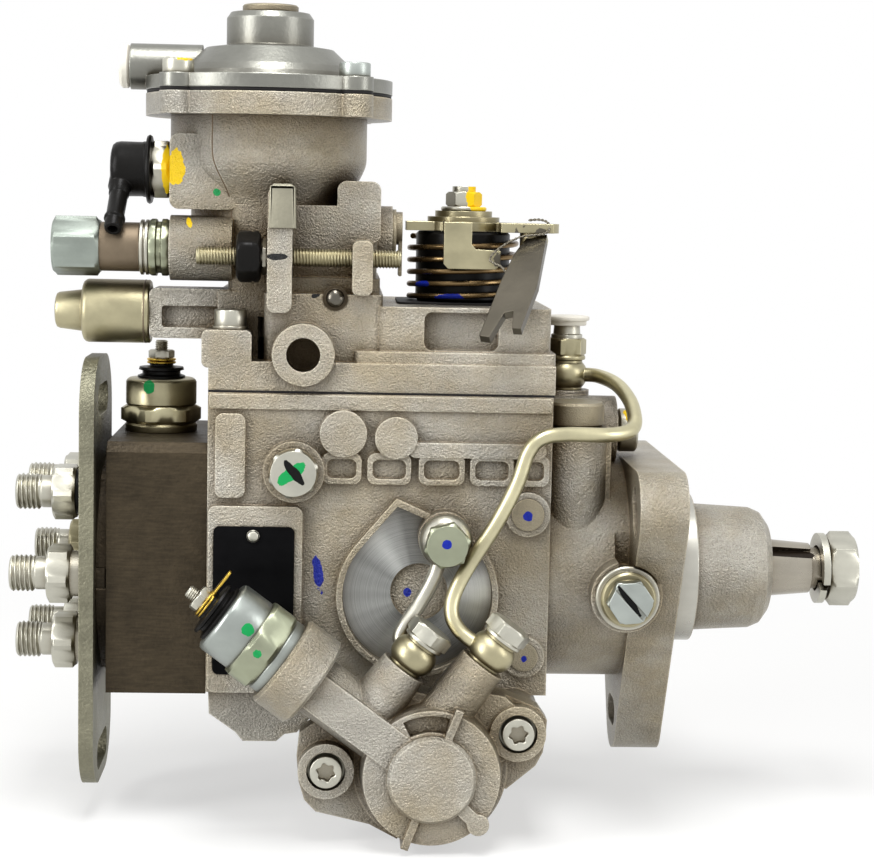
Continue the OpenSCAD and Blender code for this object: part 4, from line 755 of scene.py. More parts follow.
ZINC = Finish("bright_zinc", (0.51, 0.50, 0.43), roughness=0.36, grain_depth=0.06, patches=0.12, edge_mm=0.3,
              edge_light=0.25, crevice=0.8)
BLUE_ZINC = ZINC.like("blue_zinc", (0.38, 0.41, 0.385), grain_depth=0.05)
GREEN_ZINC = ZINC.like("pale_green_zinc", (0.34, 0.36, 0.26), roughness=0.42, grain_depth=0.05)
DULL_ZINC = ZINC.like("dull_blue_zinc", (0.31, 0.345, 0.31), roughness=0.48, grain_depth=0.08, patches=0.14,
                      edge_mm=0.4, edge_light=0.3)
CLIP_ZINC = DULL_ZINC.like("clip_zinc", (0.30, 0.285, 0.22), metallic=0.95, roughness=0.50, grain_depth=0.2)
YELLOW_ZINC = DULL_ZINC.like("yellow_zinc", (0.40, 0.365, 0.235), roughness=0.38, spread=0.10,
                             grain_scale=700.0, patches=0.18)
PIPE_ZINC = ZINC.like("pale_yellow_zinc", (0.56, 0.52, 0.34), roughness=0.34, grain_scale=700.0,
                      grain_depth=0.05, patches=0.14)
GOLD_ZINC = Finish("gold_zinc", (0.62, 0.42, 0.07), roughness=0.30)

DARK_IRON = Finish("dark_iron_skin", (0.046, 0.035, 0.021), metallic=0.6, roughness=0.50, spread=0.10,
                   grain_depth=0.45, pits=0.5, patches=0.30, edge_light=0.5, streaks=1400.0, specular=0.25)
PLATE_STEEL = Finish("rear_plate_skin", (0.20, 0.192, 0.138), metallic=0.85, roughness=0.44,
                     grain_scale=1300.0, grain_depth=0.55, pits=0.6, patches=0.18, edge_light=0.5,
                     crevice=0.8)
BARE_STEEL = Finish("bare_steel_skin", (0.40, 0.37, 0.31), roughness=0.28, grain_scale=400.0,
                    grain_depth=0.06, edge_mm=0.3, crevice=0.8, streaks=300.0)
BROWN_STEEL = Finish("brown_steel", (0.19, 0.15, 0.105), metallic=0.8, roughness=0.48, grain_scale=1200.0,
                     grain_depth=0.1, patches=0.15)
BALL_STEEL = Finish("dark_ball_steel", (0.13, 0.12, 0.10), roughness=0.22, spread=0.04)
DARK_WIRE = Finish("dark_seal_wire", (0.17, 0.155, 0.125), roughness=0.38, spread=0.06)
SPRING = Finish("oiled_spring_wire", (0.24, 0.165, 0.08), metallic=0.95, roughness=0.28, grain_scale=500.0,
                grain_depth=0.08, patches=0.15, edge_mm=0.2, crevice=0.8)
BRONZE = Finish("bearing_bronze_skin", (0.50, 0.32, 0.13), roughness=0.35)

BLACK_PLASTIC = Finish("black_moulding", (0.006, 0.0055, 0.005), metallic=0.0, roughness=0.34, spread=0.06,
                       grain_depth=0.10, patches=0.15, edge_mm=0.4, edge_light=0.6, crevice=0.3,
                       specular=0.12)
RUBBER = BLACK_PLASTIC.like("black_rubber_skin", (0.013, 0.012, 0.012), roughness=0.6, grain_depth=0.2,
                            edge_mm=0.3, edge_light=0.4, specular=0.2)
BLACK_PLATE = BLACK_PLASTIC.like("black_plate_skin", (0.006, 0.006, 0.0065), roughness=0.55,
                                 grain_scale=400.0, grain_depth=0.06, patches=0.25, edge_mm=0.3, crevice=0.2,
                                 specular=0.0)
WHITE_CAP = Finish("white_cap", (0.74, 0.71, 0.63), metallic=0.0, roughness=0.36, spread=0.05,
                   grain_scale=500.0, grain_depth=0.05, patches=0.04, edge_mm=0.6, edge_light=0.05,
                   crevice=0.2)

SLOT_FINISH: dict[str, Finish] = {
    "cast_aluminium": CAST, "machined_aluminium": CAST_SMOOTH, "zinc_steel": ZINC,
    "yellow_zinc_steel": YELLOW_ZINC, "dark_iron": DARK_IRON, "bare_steel": BARE_STEEL,
    "spring_steel": SPRING, "bearing_bronze": BRONZE, "black_plastic": BLACK_PLASTIC,
    "black_rubber": RUBBER, "white_plastic": WHITE_CAP, "black_plate": BLACK_PLATE,
}

NODE_FINISH: dict[str, Finish] = {
    "pump_housing": CAST.marked(
        "housing_skin", Mark((-116.3, -40.5, 2.6), (2.0, 4.0, 7.6), PAINT_BLUE, 8.0),
        Mark((-118.2, -35.2, 91.8), (1.3, 2.0, 0.9), PAINT_BLACK, 30.0),
        Mark((-87.5, -38.0, -3.5), (1.4, 6.0, 1.6), PAINT_BLUE)),
    "governor_cover": CAST.marked(
        "cover_skin", Mark((-163.8, -20.0, 131.0), (2.9, 16.0, 5.9), PAINT_YELLOW),
        Mark((-150.7, -28.0, 123.6), (1.4, 8.0, 1.4), PAINT_GREEN),
        Mark((-159.1, -22.0, 113.6), (1.0, 9.0, 2.0), PAINT_YELLOW, 25.0),
        Mark((-118.2, -35.2, 91.8), (1.6, 2.0, 0.9), PAINT_BLACK, 30.0),
        Mark((-130.5, -41.0, 103.8), (3.2, 2.0, 1.1), PAINT_BLACK)),
    "throttle_spring": SPRING.marked(
        "return_spring_wire", Mark((-75.5, -19.0, 90.0), (6.5, 5.0, 2.4), PAINT_BLUE),
        Mark((-84.5, -15.0, 95.0), (3.2, 6.0, 2.4), PAINT_BLUE)),
    "housing_plugs": PLUG_SKIN.marked(
        "marked_plug_skin", Mark((-49.5, -42.0, 22.6), (1.6, 4.0, 1.8), PAINT_BLUE),
        Mark((-49.5, -42.0, -24.0), (1.5, 4.0, 1.6), PAINT_BLUE)),
    # The keyway is darkened with a near-black dab.
    "drive_shaft": BARE_STEEL.marked(
        "drive_shaft_steel", Mark((43.2, -4.5, 4.5), (8.6, 2.7, 2.7), KEYWAY_DARK)),
    "governor_shaft": ZINC.marked(
        "lock_nut_zinc", Mark((-10.5, -6.0, 52.5), (4.5, 7.0, 3.4), PAINT_YELLOW)),
    "throttle_lever": YELLOW_ZINC.marked(
        "lever_zinc", Mark((-48.5, -33.0, 95.0), (17.0, 15.5, 22.0), DARK_BAR, metal=1.0),
        Mark((-58.0, -48.0, 84.0), (16.0, 17.0, 15.5), DARK_BAR, metal=1.0)),
    "throttle_shaft": ZINC.marked(
        "throttle_nut_zinc", Mark((-65.0, -2.0, 123.0), (5.0, 9.0, 6.5), PAINT_YELLOW)),
    "rear_bracket": PLATE_STEEL,
    "boost_rod": BARE_STEEL,
}


# Studio


@dataclass(frozen=True)
class Lamp:
    """A soft rectangular lamp that faces a point, in metres and watts."""

    name: str
    at: Point
    aim: Point
    size: tuple[float, float]
    watts: float

    def build(self) -> None:
        """Makes the lamp; it shines along its own -Z."""
        data = bpy.data.lights.new(self.name, "AREA")
        data.shape = "RECTANGLE"
        data.size, data.size_y = self.size
        data.energy = self.watts
        made = placed(self.name, data)
        turn = axes_for(np.asarray(self.at, float) - np.asarray(self.aim, float))
        made.matrix_world = Matrix([[*turn[i], self.at[i]] for i in range(3)] + [[0, 0, 0, 1]])


@dataclass(frozen=True)
class Studio:
    """The camera at the photograph's place, a pale floor and soft lights."""

    camera_at: Point = (-109.319, -703.561, 122.827)
    yaw_deg: float = 2.6
    pitch_deg: float = 6.3
    roll_deg: float = 1.2
    focal_px: float = 2100.0
    width_px: float = 874.0
    sensor_mm: float = 36.0
    floor_half: float = 6.0
    lamps: tuple[Lamp, ...] = (
        Lamp("top_lamp", (-0.10, -0.35, 0.95), (-0.08, 0, 0.05), (0.6, 0.3), 8.0),
        Lamp("left_lamp", (-1.05, -0.60, 0.40), (-0.08, 0, 0.05), (0.35, 0.9), 9.0),
        Lamp("right_lamp", (0.95, -0.55, 0.30), (-0.08, 0, 0.03), (0.3, 0.9), 4.0),
    )

    def camera(self) -> None:
        """Makes the camera from its yaw, pitch and roll around its place."""
        y, p, r = np.radians([self.yaw_deg, self.pitch_deg, self.roll_deg])
        ahead = np.array([np.sin(y) * np.cos(p), np.cos(y) * np.cos(p), -np.sin(p)])
        flat = np.array([np.cos(y), -np.sin(y), 0.0])
        over = np.cross(flat, ahead)
        right = np.cos(r) * flat + np.sin(r) * over
        up = np.cos(r) * over - np.sin(r) * flat
        data = bpy.data.cameras.new("photo_camera")
        data.sensor_width = self.sensor_mm
        data.sensor_fit = "HORIZONTAL"
        data.lens = self.sensor_mm * self.focal_px / self.width_px
        data.clip_start, data.clip_end = 0.01, 50.0
        made = placed("photo_camera", data)
        made.matrix_world = Matrix([[right[i], up[i], -ahead[i], self.camera_at[i] * MM] for i in range(3)]
                                   + [[0, 0, 0, 1]])
        bpy.context.scene.camera = made

    def world(self) -> None:
        """Lights the scene softly and shows white to the camera and in reflections."""
        made = bpy.data.worlds.new("studio_world")
        bpy.context.scene.world = made
        n = emptied(made)
        path = n.add("LightPath")
        shown = n.maths("MAXIMUM", path.outputs["Is Camera Ray"], path.outputs["Is Glossy Ray"])
        shown = n.maths("MAXIMUM", shown, path.outputs["Is Transmission Ray"])
        soft = n.add("Background", {"Color": (1.0, 0.99, 0.96, 1.0), "Strength": 0.40})
        white = n.add("Background", {"Color": (1.0, 1.0, 1.0, 1.0), "Strength": 1.0})
        mixed = n.add("MixShader", {0: shown, 1: soft.outputs[0], 2: white.outputs[0]})
        end = n.add("OutputWorld")
        made.node_tree.links.new(mixed.outputs[0], end.inputs["Surface"])

    def floor(self, height: float) -> None:
        """Makes the pale floor, which keeps the shadow and fades to white away from the object.

        Args:
            height: Its height in metres.
        """
        half = self.floor_half
        mesh = bpy.data.meshes.new("floor")
        mesh.from_pydata([(-half, -half, height), (half, -half, height), (half, half, height),
                          (-half, half, height)], [], [(0, 1, 2, 3)])
        made = placed("floor", mesh)
        paint = bpy.data.materials.new("floor_paint")
        n = emptied(paint)
        path = n.add("LightPath")
        middle = (0.085, 0.0, -height)
        place = n.add("VectorMath", {0: n.add("TexCoord").outputs["Object"], 1: middle}, operation="ADD")
        far = n.add("VectorMath", {0: place.outputs[0]}, operation="LENGTH")
        white = n.ramp(far.outputs["Value"], 0.10, 0.55, 0.55, 1.0)
        seen = n.maths("MAXIMUM", path.outputs["Is Camera Ray"], path.outputs["Is Glossy Ray"])
        matt = n.add("BsdfDiffuse", {"Color": (0.93, 0.93, 0.92, 1.0)})
        glow = n.add("Emission", {"Color": (1.0, 1.0, 1.0, 1.0), "Strength": 1.0})
        share = n.maths("MULTIPLY", seen, white)
        mixed = n.add("MixShader", {0: share, 1: matt.outputs[0], 2: glow.outputs[0]})
        end = n.add("OutputMaterial")
        paint.node_tree.links.new(mixed.outputs[0], end.inputs["Surface"])
        mesh.materials.append(paint)
        made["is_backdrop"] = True

    def build(self, floor_height: float) -> None:
        """Makes camera, world, floor and lamps.

        Args:
            floor_height: The floor's height in metres.
        """
        self.camera()
        self.world()
        self.floor(floor_height)
        for lamp in self.lamps:
            lamp.build()


# The pump


@dataclass(frozen=True)
class PumpBody:
    """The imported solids, dressed in their finishes."""

    frame: dict

    def dress(self) -> int:
        """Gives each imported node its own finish, or else that of its material slot.

        Returns:
            The number of nodes.
        """
        nodes = self.frame["nodes"]
        slots = {row["node"]: row["material_slot"] for row in self.frame["record"]["subparts"]}
        for name, obj in nodes.items():
            finish = (NODE_FINISH.get(name) or SLOT_FINISH[slots[name]]).material()
            for i in range(len(obj.data.materials)):
                obj.data.materials[i] = finish
            if not obj.data.materials:
                obj.data.materials.append(finish)
        return len(nodes)


# Tools for the fine pieces


class Body(Enum):
    """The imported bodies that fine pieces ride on."""

    PUMP = "pump"
    DRIVE_LINE = "drive_line"
    THROTTLE = "throttle"


class Slot(Enum):
    """The record's material slots that fine pieces belong to."""

    ZINC = "zinc_steel"
    YELLOW_ZINC = "yellow_zinc_steel"
    BARE = "bare_steel"
    SPRING = "spring_steel"
    CAST = "cast_aluminium"
    MACHINED = "machined_aluminium"
    MOULDED = "black_plastic"


class Socket(Enum):
    """The sockets in the heads of the cover screws."""

    STAR = "star"
    HEXAGON = "hexagon"


NEAR: Point = (0.0, -1.0, 0.0)
FAR: Point = (0.0, 1.0, 0.0)
UP: Point = (0.0, 0.0, 1.0)
TO_DRIVE: Point = (1.0, 0.0, 0.0)
TO_REAR: Point = (-1.0, 0.0, 0.0)


@dataclass(frozen=True)
class Place:
    """A turn and a shift that carry a local shape into the pump's frame."""

    turn: np.ndarray
    at: np.ndarray

    @classmethod
    def along(cls, axis: Point, at: Point, spin_deg: float = 0.0) -> "Place":
        """Makes a place whose local Z takes the axis.

        Args:
            axis: The direction of local Z.
            at: Where the local origin goes.
            spin_deg: Turn around the axis, in degrees.

        Returns:
            The place.
        """
        return cls(axes_for(axis, spin_deg), np.asarray(at, float))

    def __call__(self, surface: Surface) -> Surface:
        """Carries a surface."""
        return surface.moved(self.turn, self.at)


@dataclass(frozen=True)
class Squash:
    """How a coil shortens: the joint it follows, its way, its fixed end and the share it keeps."""

    joint: str
    way: Point
    fixed: Point
    keep: float


class Piece:
    """One Blender object made of several surfaces, each with its finish."""

    def __init__(self, name: str, body: Body, slot: Slot, *replaces: str) -> None:
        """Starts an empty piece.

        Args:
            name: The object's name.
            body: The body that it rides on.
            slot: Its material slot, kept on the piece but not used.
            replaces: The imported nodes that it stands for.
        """
        self.name, self.body, self.slot, self.replaces = name, body, slot, replaces
        self.parts: list[tuple[Surface, Finish]] = []
        self.squash: Squash | None = None

    def add(self, surface: Surface, finish: Finish) -> "Piece":
        """Adds a surface and returns the piece."""
        self.parts.append((surface, finish))
        return self

    def mesh(self) -> bpy.types.Mesh:
        """Joins the surfaces in one mesh, with one material for each finish.

        Returns:
            The mesh.
        """
        points = np.vstack([surface.points for surface, _ in self.parts]) * MM
        finishes: list[Finish] = []
        faces: list[list[int]] = []
        index: list[int] = []
        start = 0
        for surface, finish in self.parts:
            if finish not in finishes:
                finishes.append(finish)
            faces += [[start + i for i in row] for row in surface.faces]
            index += [finishes.index(finish)] * len(surface.faces)
            start += len(surface.points)
        mesh = bpy.data.meshes.new(self.name)
        mesh.from_pydata(points.tolist(), [], faces)
        mesh.polygons.foreach_set("material_index", index)
        mesh.shade_smooth()
        mesh.set_sharp_from_angle(angle=SHARP_ANGLE)
        for finish in finishes:
            mesh.materials.append(finish.material())
        return mesh

    def build(self) -> bpy.types.Object:
        """Makes the object, ties it to its body and hides the nodes it stands for; a piece with a squash gets
        a mesh of its own.

        Returns:
            The object.
        """
        made = placed(self.name, self.mesh())
        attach(made, self.body.value)
        if self.replaces:
            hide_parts(*self.replaces)
        if self.squash:
            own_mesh(made)
        return made


def bar(*rows: Point, steps: int = 48) -> Surface:
    """A turned bar through the given radius and height rows, closed to the axis at both ends."""
    return turned([(0.0, rows[0][1]), *rows, (0.0, rows[-1][1])], steps)


def hex_bar(across: float, low: float, high: float) -> Surface:
    """A chamfered hexagon: a round bar with chamfered rims, cut to six flats.

    Args:
        across: Width across the flats.
        low: Height of its lower face.
        high: Height of its upper face.

    Returns:
        The hexagon.
    """
    corner = across / np.sqrt(3.0)
    face_r = across / 2 * 0.985
    rise = (corner - face_r) * CHAMFER_SLOPE
    rows = [(face_r, low), (corner, low + rise), (corner, high - rise), (face_r, high)]
    return turned([(0.0, low), *rows, (0.0, high)], 48, hexagon(across))


def threaded(radius: float, low: float, high: float, pitch: float, depth: float = 0.0) -> Surface:
    """A threaded rod with chamfered ends.

    Args:
        radius: Radius over the thread.
        low: Height of its lower end.
        high: Height of its upper end.
        pitch: Rise of the thread in one turn.
        depth: Depth of the thread, or 0 for one that suits the pitch.

    Returns:
        The rod.
    """
    depth = depth or pitch * 0.55
    rows = [(0.0, low), (radius - depth, low), (radius, low + depth), (radius, high - depth),
            (radius - depth, high), (0.0, high)]
    return turned(rows, 36, thread(low - 1, high + 1, pitch, depth), pitch / 7)


def socket_screw(radius: float, height: float, socket_r: float, socket: Socket) -> Surface:
    """A screw head with a softened rim and a socket, standing on z = 0.

    Args:
        radius: Radius of the head.
        height: Height of the head.
        socket_r: Radius of the socket.
        socket: The socket's shape.

    Returns:
        The head.
    """
    soft = 0.5
    rows = [(0.0, -0.2), (radius - 0.2, -0.2), (radius, 0.2), (radius, height - soft),
            (radius - 0.15, height - 0.15), (radius - soft, height), (socket_r + 0.35, height),
            (socket_r, height - 0.3), (socket_r * 0.99, height * 0.45), (0.0, height * 0.38)]
    section = star_socket(socket_r, socket_r * 0.2, 6) if socket is Socket.STAR else hex_socket(socket_r)
    return turned(rows, 72, section)


def ball_banjo(radius: float, height: float) -> Surface:
    """A banjo ring standing on z = 0: a barrel bulged between two flat faces.

    The bulge falls from the middle with the power 2.5 of the distance.

    Args:
        radius: Radius at its middle.
        height: Its height.

    Returns:
        The ring.
    """
    t = np.linspace(-1, 1, 13)
    waist, lip = radius * 0.76, 0.9
    bulge = np.column_stack([radius - radius * 0.22 * t**2 * np.abs(t)**0.5,
                             height / 2 + t * (height / 2 - lip)])
    return turned([(0.0, 0.0), (waist, 0.0), (waist, lip), *bulge.tolist(), (waist, height - lip),
                   (waist, height), (0.0, height)], 48)


def slotted_face(across: float, low: float, high: float, gap: float, turn_deg: float) -> list[Surface]:
    """The two halves of a slotted hexagon face: the hexagon's polar outline, cut along a slot.

    Args:
        across: Width across the flats.
        low: Height of the slot's floor.
        high: Height of the face.
        gap: Width of the slot.
        turn_deg: Direction of the slot around the head.

    Returns:
        The two halves.
    """
    reach = across / 2 * 1.1
    start = np.arcsin(gap / 2 / reach)
    halves = []
    for side in (0.0, np.pi):
        t = np.linspace(start, np.pi - start, 40) + np.radians(turn_deg) + side
        r = np.minimum(hexagon(across)(np.full_like(t, reach), t, t), across / 2 * 1.06)
        halves.append(slab(np.column_stack([r * np.cos(t), r * np.sin(t)]), low, high, 0.25))
    return halves


@dataclass(frozen=True)
class TimingFrame:
    """The timing cover's own frame: X runs up its sloping arm, and Z towards the near side."""

    at: Point = (-80.0, 0.0, -55.5)
    slope_deg: float = 36.5
    face: float = 60.0

    @property
    def arm(self) -> np.ndarray:
        """The way up the arm."""
        a = np.radians(self.slope_deg)
        return np.array([-np.cos(a), 0.0, np.sin(a)])

    @property
    def across(self) -> np.ndarray:
        """The way across the arm, downwards."""
        a = np.radians(self.slope_deg)
        return np.array([-np.sin(a), 0.0, -np.cos(a)])

    def point(self, x: float, y: float, z: float) -> np.ndarray:
        """A point of this frame, in the pump's frame."""
        return np.asarray(self.at) + x * self.arm + y * self.across + z * np.asarray(NEAR)

    def banjo_seat(self, x: float, y: float) -> np.ndarray:
        """The foot of a banjo ring on its boss."""
        return self.point(x, -(y + 0.05), self.face)

    def banjo_middle(self, x: float, y: float) -> np.ndarray:
        """The middle of a banjo ring on its boss."""
        return self.point(x, -(y + 0.05 + 4.8), self.face)


TIMING = TimingFrame()


class SubAssembly:
    """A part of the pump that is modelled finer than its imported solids."""

    def pieces(self) -> list[Piece]:
        """The part's pieces, in the order in which they are built."""
        raise NotImplementedError


# The rear: outlets, supply, cold start and shut-off


@dataclass(frozen=True)
class DeliveryOutlets(SubAssembly):
    """The six threaded outlets around the rear head, each with a hexagon and a cone seat."""

    count: int = 6
    foot_x: float = -172.5
    circle_r: float = 28.5
    foot_r: float = 8.4
    band_r: float = 7.4
    flats: float = 17.0
    thread_r: float = 6.0
    pitch: float = 1.5
    thread_depth: float = 0.75
    black_band: int = 5
    yellow_hexagon: int = 3

    def place(self, i: int) -> Place:
        """The foot of one outlet, with its hexagon turned unlike its neighbours'.

        Args:
            i: The outlet's number.

        Returns:
            The outlet's place.
        """
        a = np.radians(360.0 / self.count * i)
        at = (self.foot_x, -self.circle_r * np.cos(a), -self.circle_r * np.sin(a))
        return Place.along(TO_REAR, at, 7.0 * ((i * 5) % 4) - 8.0)

    def tip(self) -> Surface:
        """The threaded end with its neck and cone seat.

        Returns:
            The threaded end.
        """
        rows = [(0.0, 30.9), (5.3, 30.9), (5.3, 34.6), (5.2, 34.9), (self.thread_r, 35.6),
                (self.thread_r, 42.3), (5.1, 43.1), (3.7, 43.1), (1.5, 40.5), (0.0, 40.4)]
        return turned(rows, 36, thread(34.9, 42.6, self.pitch, self.thread_depth), 0.2)

    def pieces(self) -> list[Piece]:
        """The outlets as one piece.

        Returns:
            The part's pieces.
        """
        piece = Piece("delivery_outlets", Body.PUMP, Slot.ZINC, "delivery_holders")
        for i in range(self.count):
            place = self.place(i)
            # One outlet's narrow band is black as painted shade in its groove; the others are zinc.
            band = BLACK_PLASTIC if i == self.black_band else ZINC
            hexagon_finish = YELLOW_ZINC if i == self.yellow_hexagon else ZINC
            # The foot takes the head's dark iron finish; where it crosses the gap to the plate, this is
            # painted shade.
            piece.add(place(bar((self.foot_r, 12), (self.foot_r, 19.8), (8.1, 20.0))), DARK_IRON)
            piece.add(place(bar((self.band_r, 20.0), (self.band_r, 23.7))), band)
            piece.add(place(hex_bar(self.flats, 23.5, 31.0)), hexagon_finish)
            piece.add(place(self.tip()), ZINC)
        return [piece]


@dataclass(frozen=True)
class FuelUnion(SubAssembly):
    """The supply union: notched nut, ring, brown sleeve and a bluish hexagon with its bore."""

    at: Point = (-156.0, -20.0, 105.5)
    spin_deg: float = 18.0
    nut_r: float = 9.4
    notches: int = 12
    notch_depth: float = 0.5
    ring_r: float = 8.9
    sleeve_r: float = 7.9
    flats: float = 17.0
    bore_r: float = 4.0

    def nut(self) -> Surface:
        """The nut with notches around its rim and a groove in its middle.

        Returns:
            The nut.
        """
        nut_r = self.nut_r
        rows = [(0.0, 0.0), (5.1, 0.0), (5.1, 9.6), (8.7, 9.6), (nut_r, 10.6), (nut_r, 12.0), (8.5, 12.4),
                (8.5, 13.6), (nut_r, 14.0), (nut_r, 15.4), (8.8, 16.1), (0.0, 16.1)]
        return turned(rows, 72, ridged(10.0, 15.9, self.notches, self.notch_depth))

    def ring(self) -> Surface:
        """The two sealing rings in line.

        Returns:
            The rings.
        """
        r, groove = self.ring_r, self.ring_r - 0.7
        return bar((groove, 16.0), (r, 16.5), (r, 17.3), (groove, 17.5), (groove, 17.9), (r, 18.1),
                   (r, 18.9), (groove, 19.3))

    def head(self) -> Surface:
        """The chamfered hexagon with its bore.

        Returns:
            The hexagon.
        """
        corner = self.flats / np.sqrt(3.0)
        rows = [(0.0, 31.9), (8.2, 31.9), (8.4, 32.2), (corner, 33.2), (corner, 46.1), (8.3, 47.0),
                (self.bore_r + 0.6, 47.0), (self.bore_r, 46.5), (self.bore_r, 34.0), (0.0, 34.0)]
        return turned(rows, 48, hexagon(self.flats))

    def pieces(self) -> list[Piece]:
        """The union as one piece.

        Returns:
            The part's pieces.
        """
        piece = Piece("fuel_union", Body.PUMP, Slot.ZINC, "fuel_inlet_union")
        place = Place.along(TO_REAR, self.at, self.spin_deg)
        sleeve = bar((7.8, 19.1), (self.sleeve_r, 19.5), (self.sleeve_r, 31.5), (7.7, 32.2))
        piece.add(place(self.nut()), GREEN_ZINC)
        piece.add(place(self.ring()), ZINC)
        piece.add(place(sleeve), BROWN_STEEL)
        piece.add(place(self.head()), DULL_ZINC)
        return [piece]


@dataclass(frozen=True)
class ColdStartCylinder(SubAssembly):
    """The cold-start cylinder with its blunt cone and the seam near its foot."""

    at: Point = (-163.0, -15.0, 84.5)
    neck_r: float = 5.5
    can_r: float = 10.3
    can_end: float = 29.2
    cone_r: float = 6.7

    def pieces(self) -> list[Piece]:
        """The cylinder as one piece.

        Returns:
            The part's pieces.
        """
        piece = Piece("cold_start_cylinder", Body.PUMP, Slot.ZINC, "idle_cylinder")
        place = Place.along(TO_REAR, self.at)
        can_r, seam_r = self.can_r, self.can_r + 0.06
        can = bar((self.neck_r, 0), (self.neck_r, 9.1), (9.8, 9.1), (can_r, 9.6), (can_r, self.can_end),
                  (10.1, 30.0), (9.5, 30.7), (8.7, 31.0), (7.2, 31.0), (6.8, 31.3), (self.cone_r, 32.0),
                  (5.9, 38.6), (5.5, 39.5), (4.6, 39.9), steps=64)
        piece.add(place(can), YELLOW_ZINC)
        piece.add(place(bar((seam_r, 10.6), (seam_r, 11.0), (can_r, 11.1))), BROWN_STEEL)
        return [piece]


@dataclass(frozen=True)
class Terminal:
    """A solenoid's terminal: flanged black insulator, gold washers, hexagon nut and threaded stud."""

    size: float
    washer_r: float = 4.8
    flats: float = 7.5
    stud_r: float = 2.2
    pitch: float = 0.7

    def add_to(self, piece: Piece, place: Place) -> None:
        """Adds the terminal to a piece.

        Args:
            piece: The piece that takes it.
            place: Carries local Z out along the stud from the insulator's foot.
        """
        s, washer_r = self.size, self.washer_r
        insulator = bar((s, -0.4), (s, 1.0), (s * 0.8, 1.6), (s * 0.8, 2.6), (s * 0.95, 3.0), (s * 0.92, 3.9),
                        (s * 0.5, 4.3), (s * 0.48, 5.8))
        piece.add(place(insulator), BLACK_PLASTIC)
        for low in (5.0, 6.0):
            washer = bar((washer_r - 0.3, low), (washer_r, low + 0.2), (washer_r, low + 0.6),
                         (washer_r - 0.3, low + 0.8))
            piece.add(place(washer), GOLD_ZINC)
        piece.add(place(hex_bar(self.flats, 6.8, 9.6)), ZINC)
        piece.add(place(threaded(self.stud_r, 9.4, 12.8, self.pitch)), ZINC)


@dataclass(frozen=True)
class ShutoffValve(SubAssembly):
    """The shut-off solenoid on the rear head, with both solenoids' terminals and the gold tab."""

    at: Point = (-170.0, 0.0, 44.0)
    foot_r: float = 9.0
    flats: float = 24.0
    corner_r: float = 13.4
    can_r: float = 11.7
    can_top: float = 17.4
    own_terminal: Terminal = Terminal(7.9)
    timing_terminal: Terminal = Terminal(9.6)
    timing_terminal_x: float = 82.0
    tab_r: float = 3.6
    tab_x: float = 87.5
    tab_thickness: float = 0.8
    dab: Mark = Mark((-173.2, -11.5, 59.4), (2.0, 5.0, 2.2), PAINT_GREEN)

    def tab(self) -> Surface:
        """The gold tab on the timing terminal: a round end with a flared tail.

        Returns:
            The tab.
        """
        ring = [(self.tab_r * np.cos(t), self.tab_r * np.sin(t))
                for t in np.linspace(0.35 * np.pi, 1.65 * np.pi, 16)]
        rim = [(10.5, 2.6), *ring, (10.5, -2.6), (12.6, -1.6), (12.6, 1.6)]
        flat = np.column_stack([-TIMING.across, np.cross(TIMING.arm, -TIMING.across), TIMING.arm])
        tab = slab(rim, self.tab_x, self.tab_x + self.tab_thickness, 0.2)
        return tab.moved(flat, TIMING.point(0, 0, TIMING.face))

    def pieces(self) -> list[Piece]:
        """The solenoid and both terminals as one piece.

        Returns:
            The part's pieces.
        """
        piece = Piece("shutoff_valve", Body.PUMP, Slot.ZINC, "shutoff_solenoid", "solenoid_terminals")
        place = Place.along(UP, self.at, 12.0)
        seat = bar((self.foot_r, -9.9), (self.foot_r, 0.1), (11.9, 0.1), (12.0, 0.5), (12.0, 2.2),
                   (11.4, 2.9))
        nut = turned([(0.0, 2.7), (11.4, 2.7), (self.corner_r, 3.8), (self.corner_r, 7.6), (11.6, 8.6),
                      (0.0, 8.6)], 48, hexagon(self.flats))
        can = bar((10.9, 8.4), (self.can_r, 9.2), (self.can_r, 16.4), (11.3, 17.1), (10.6, 17.6), (8.0, 17.7))
        piece.add(place(seat), YELLOW_ZINC)
        piece.add(place(nut), PIPE_ZINC)
        piece.add(place(can), YELLOW_ZINC.marked("green_dab_zinc", self.dab))
        top = (self.at[0], self.at[1], self.at[2] + self.can_top)
        self.own_terminal.add_to(piece, Place.along(UP, top, 10.0))
        end = TIMING.point(self.timing_terminal_x, 0.0, TIMING.face)
        self.timing_terminal.add_to(piece, Place.along(TIMING.arm, end, 20.0))
        piece.add(self.tab(), GOLD_ZINC)
        return [piece]


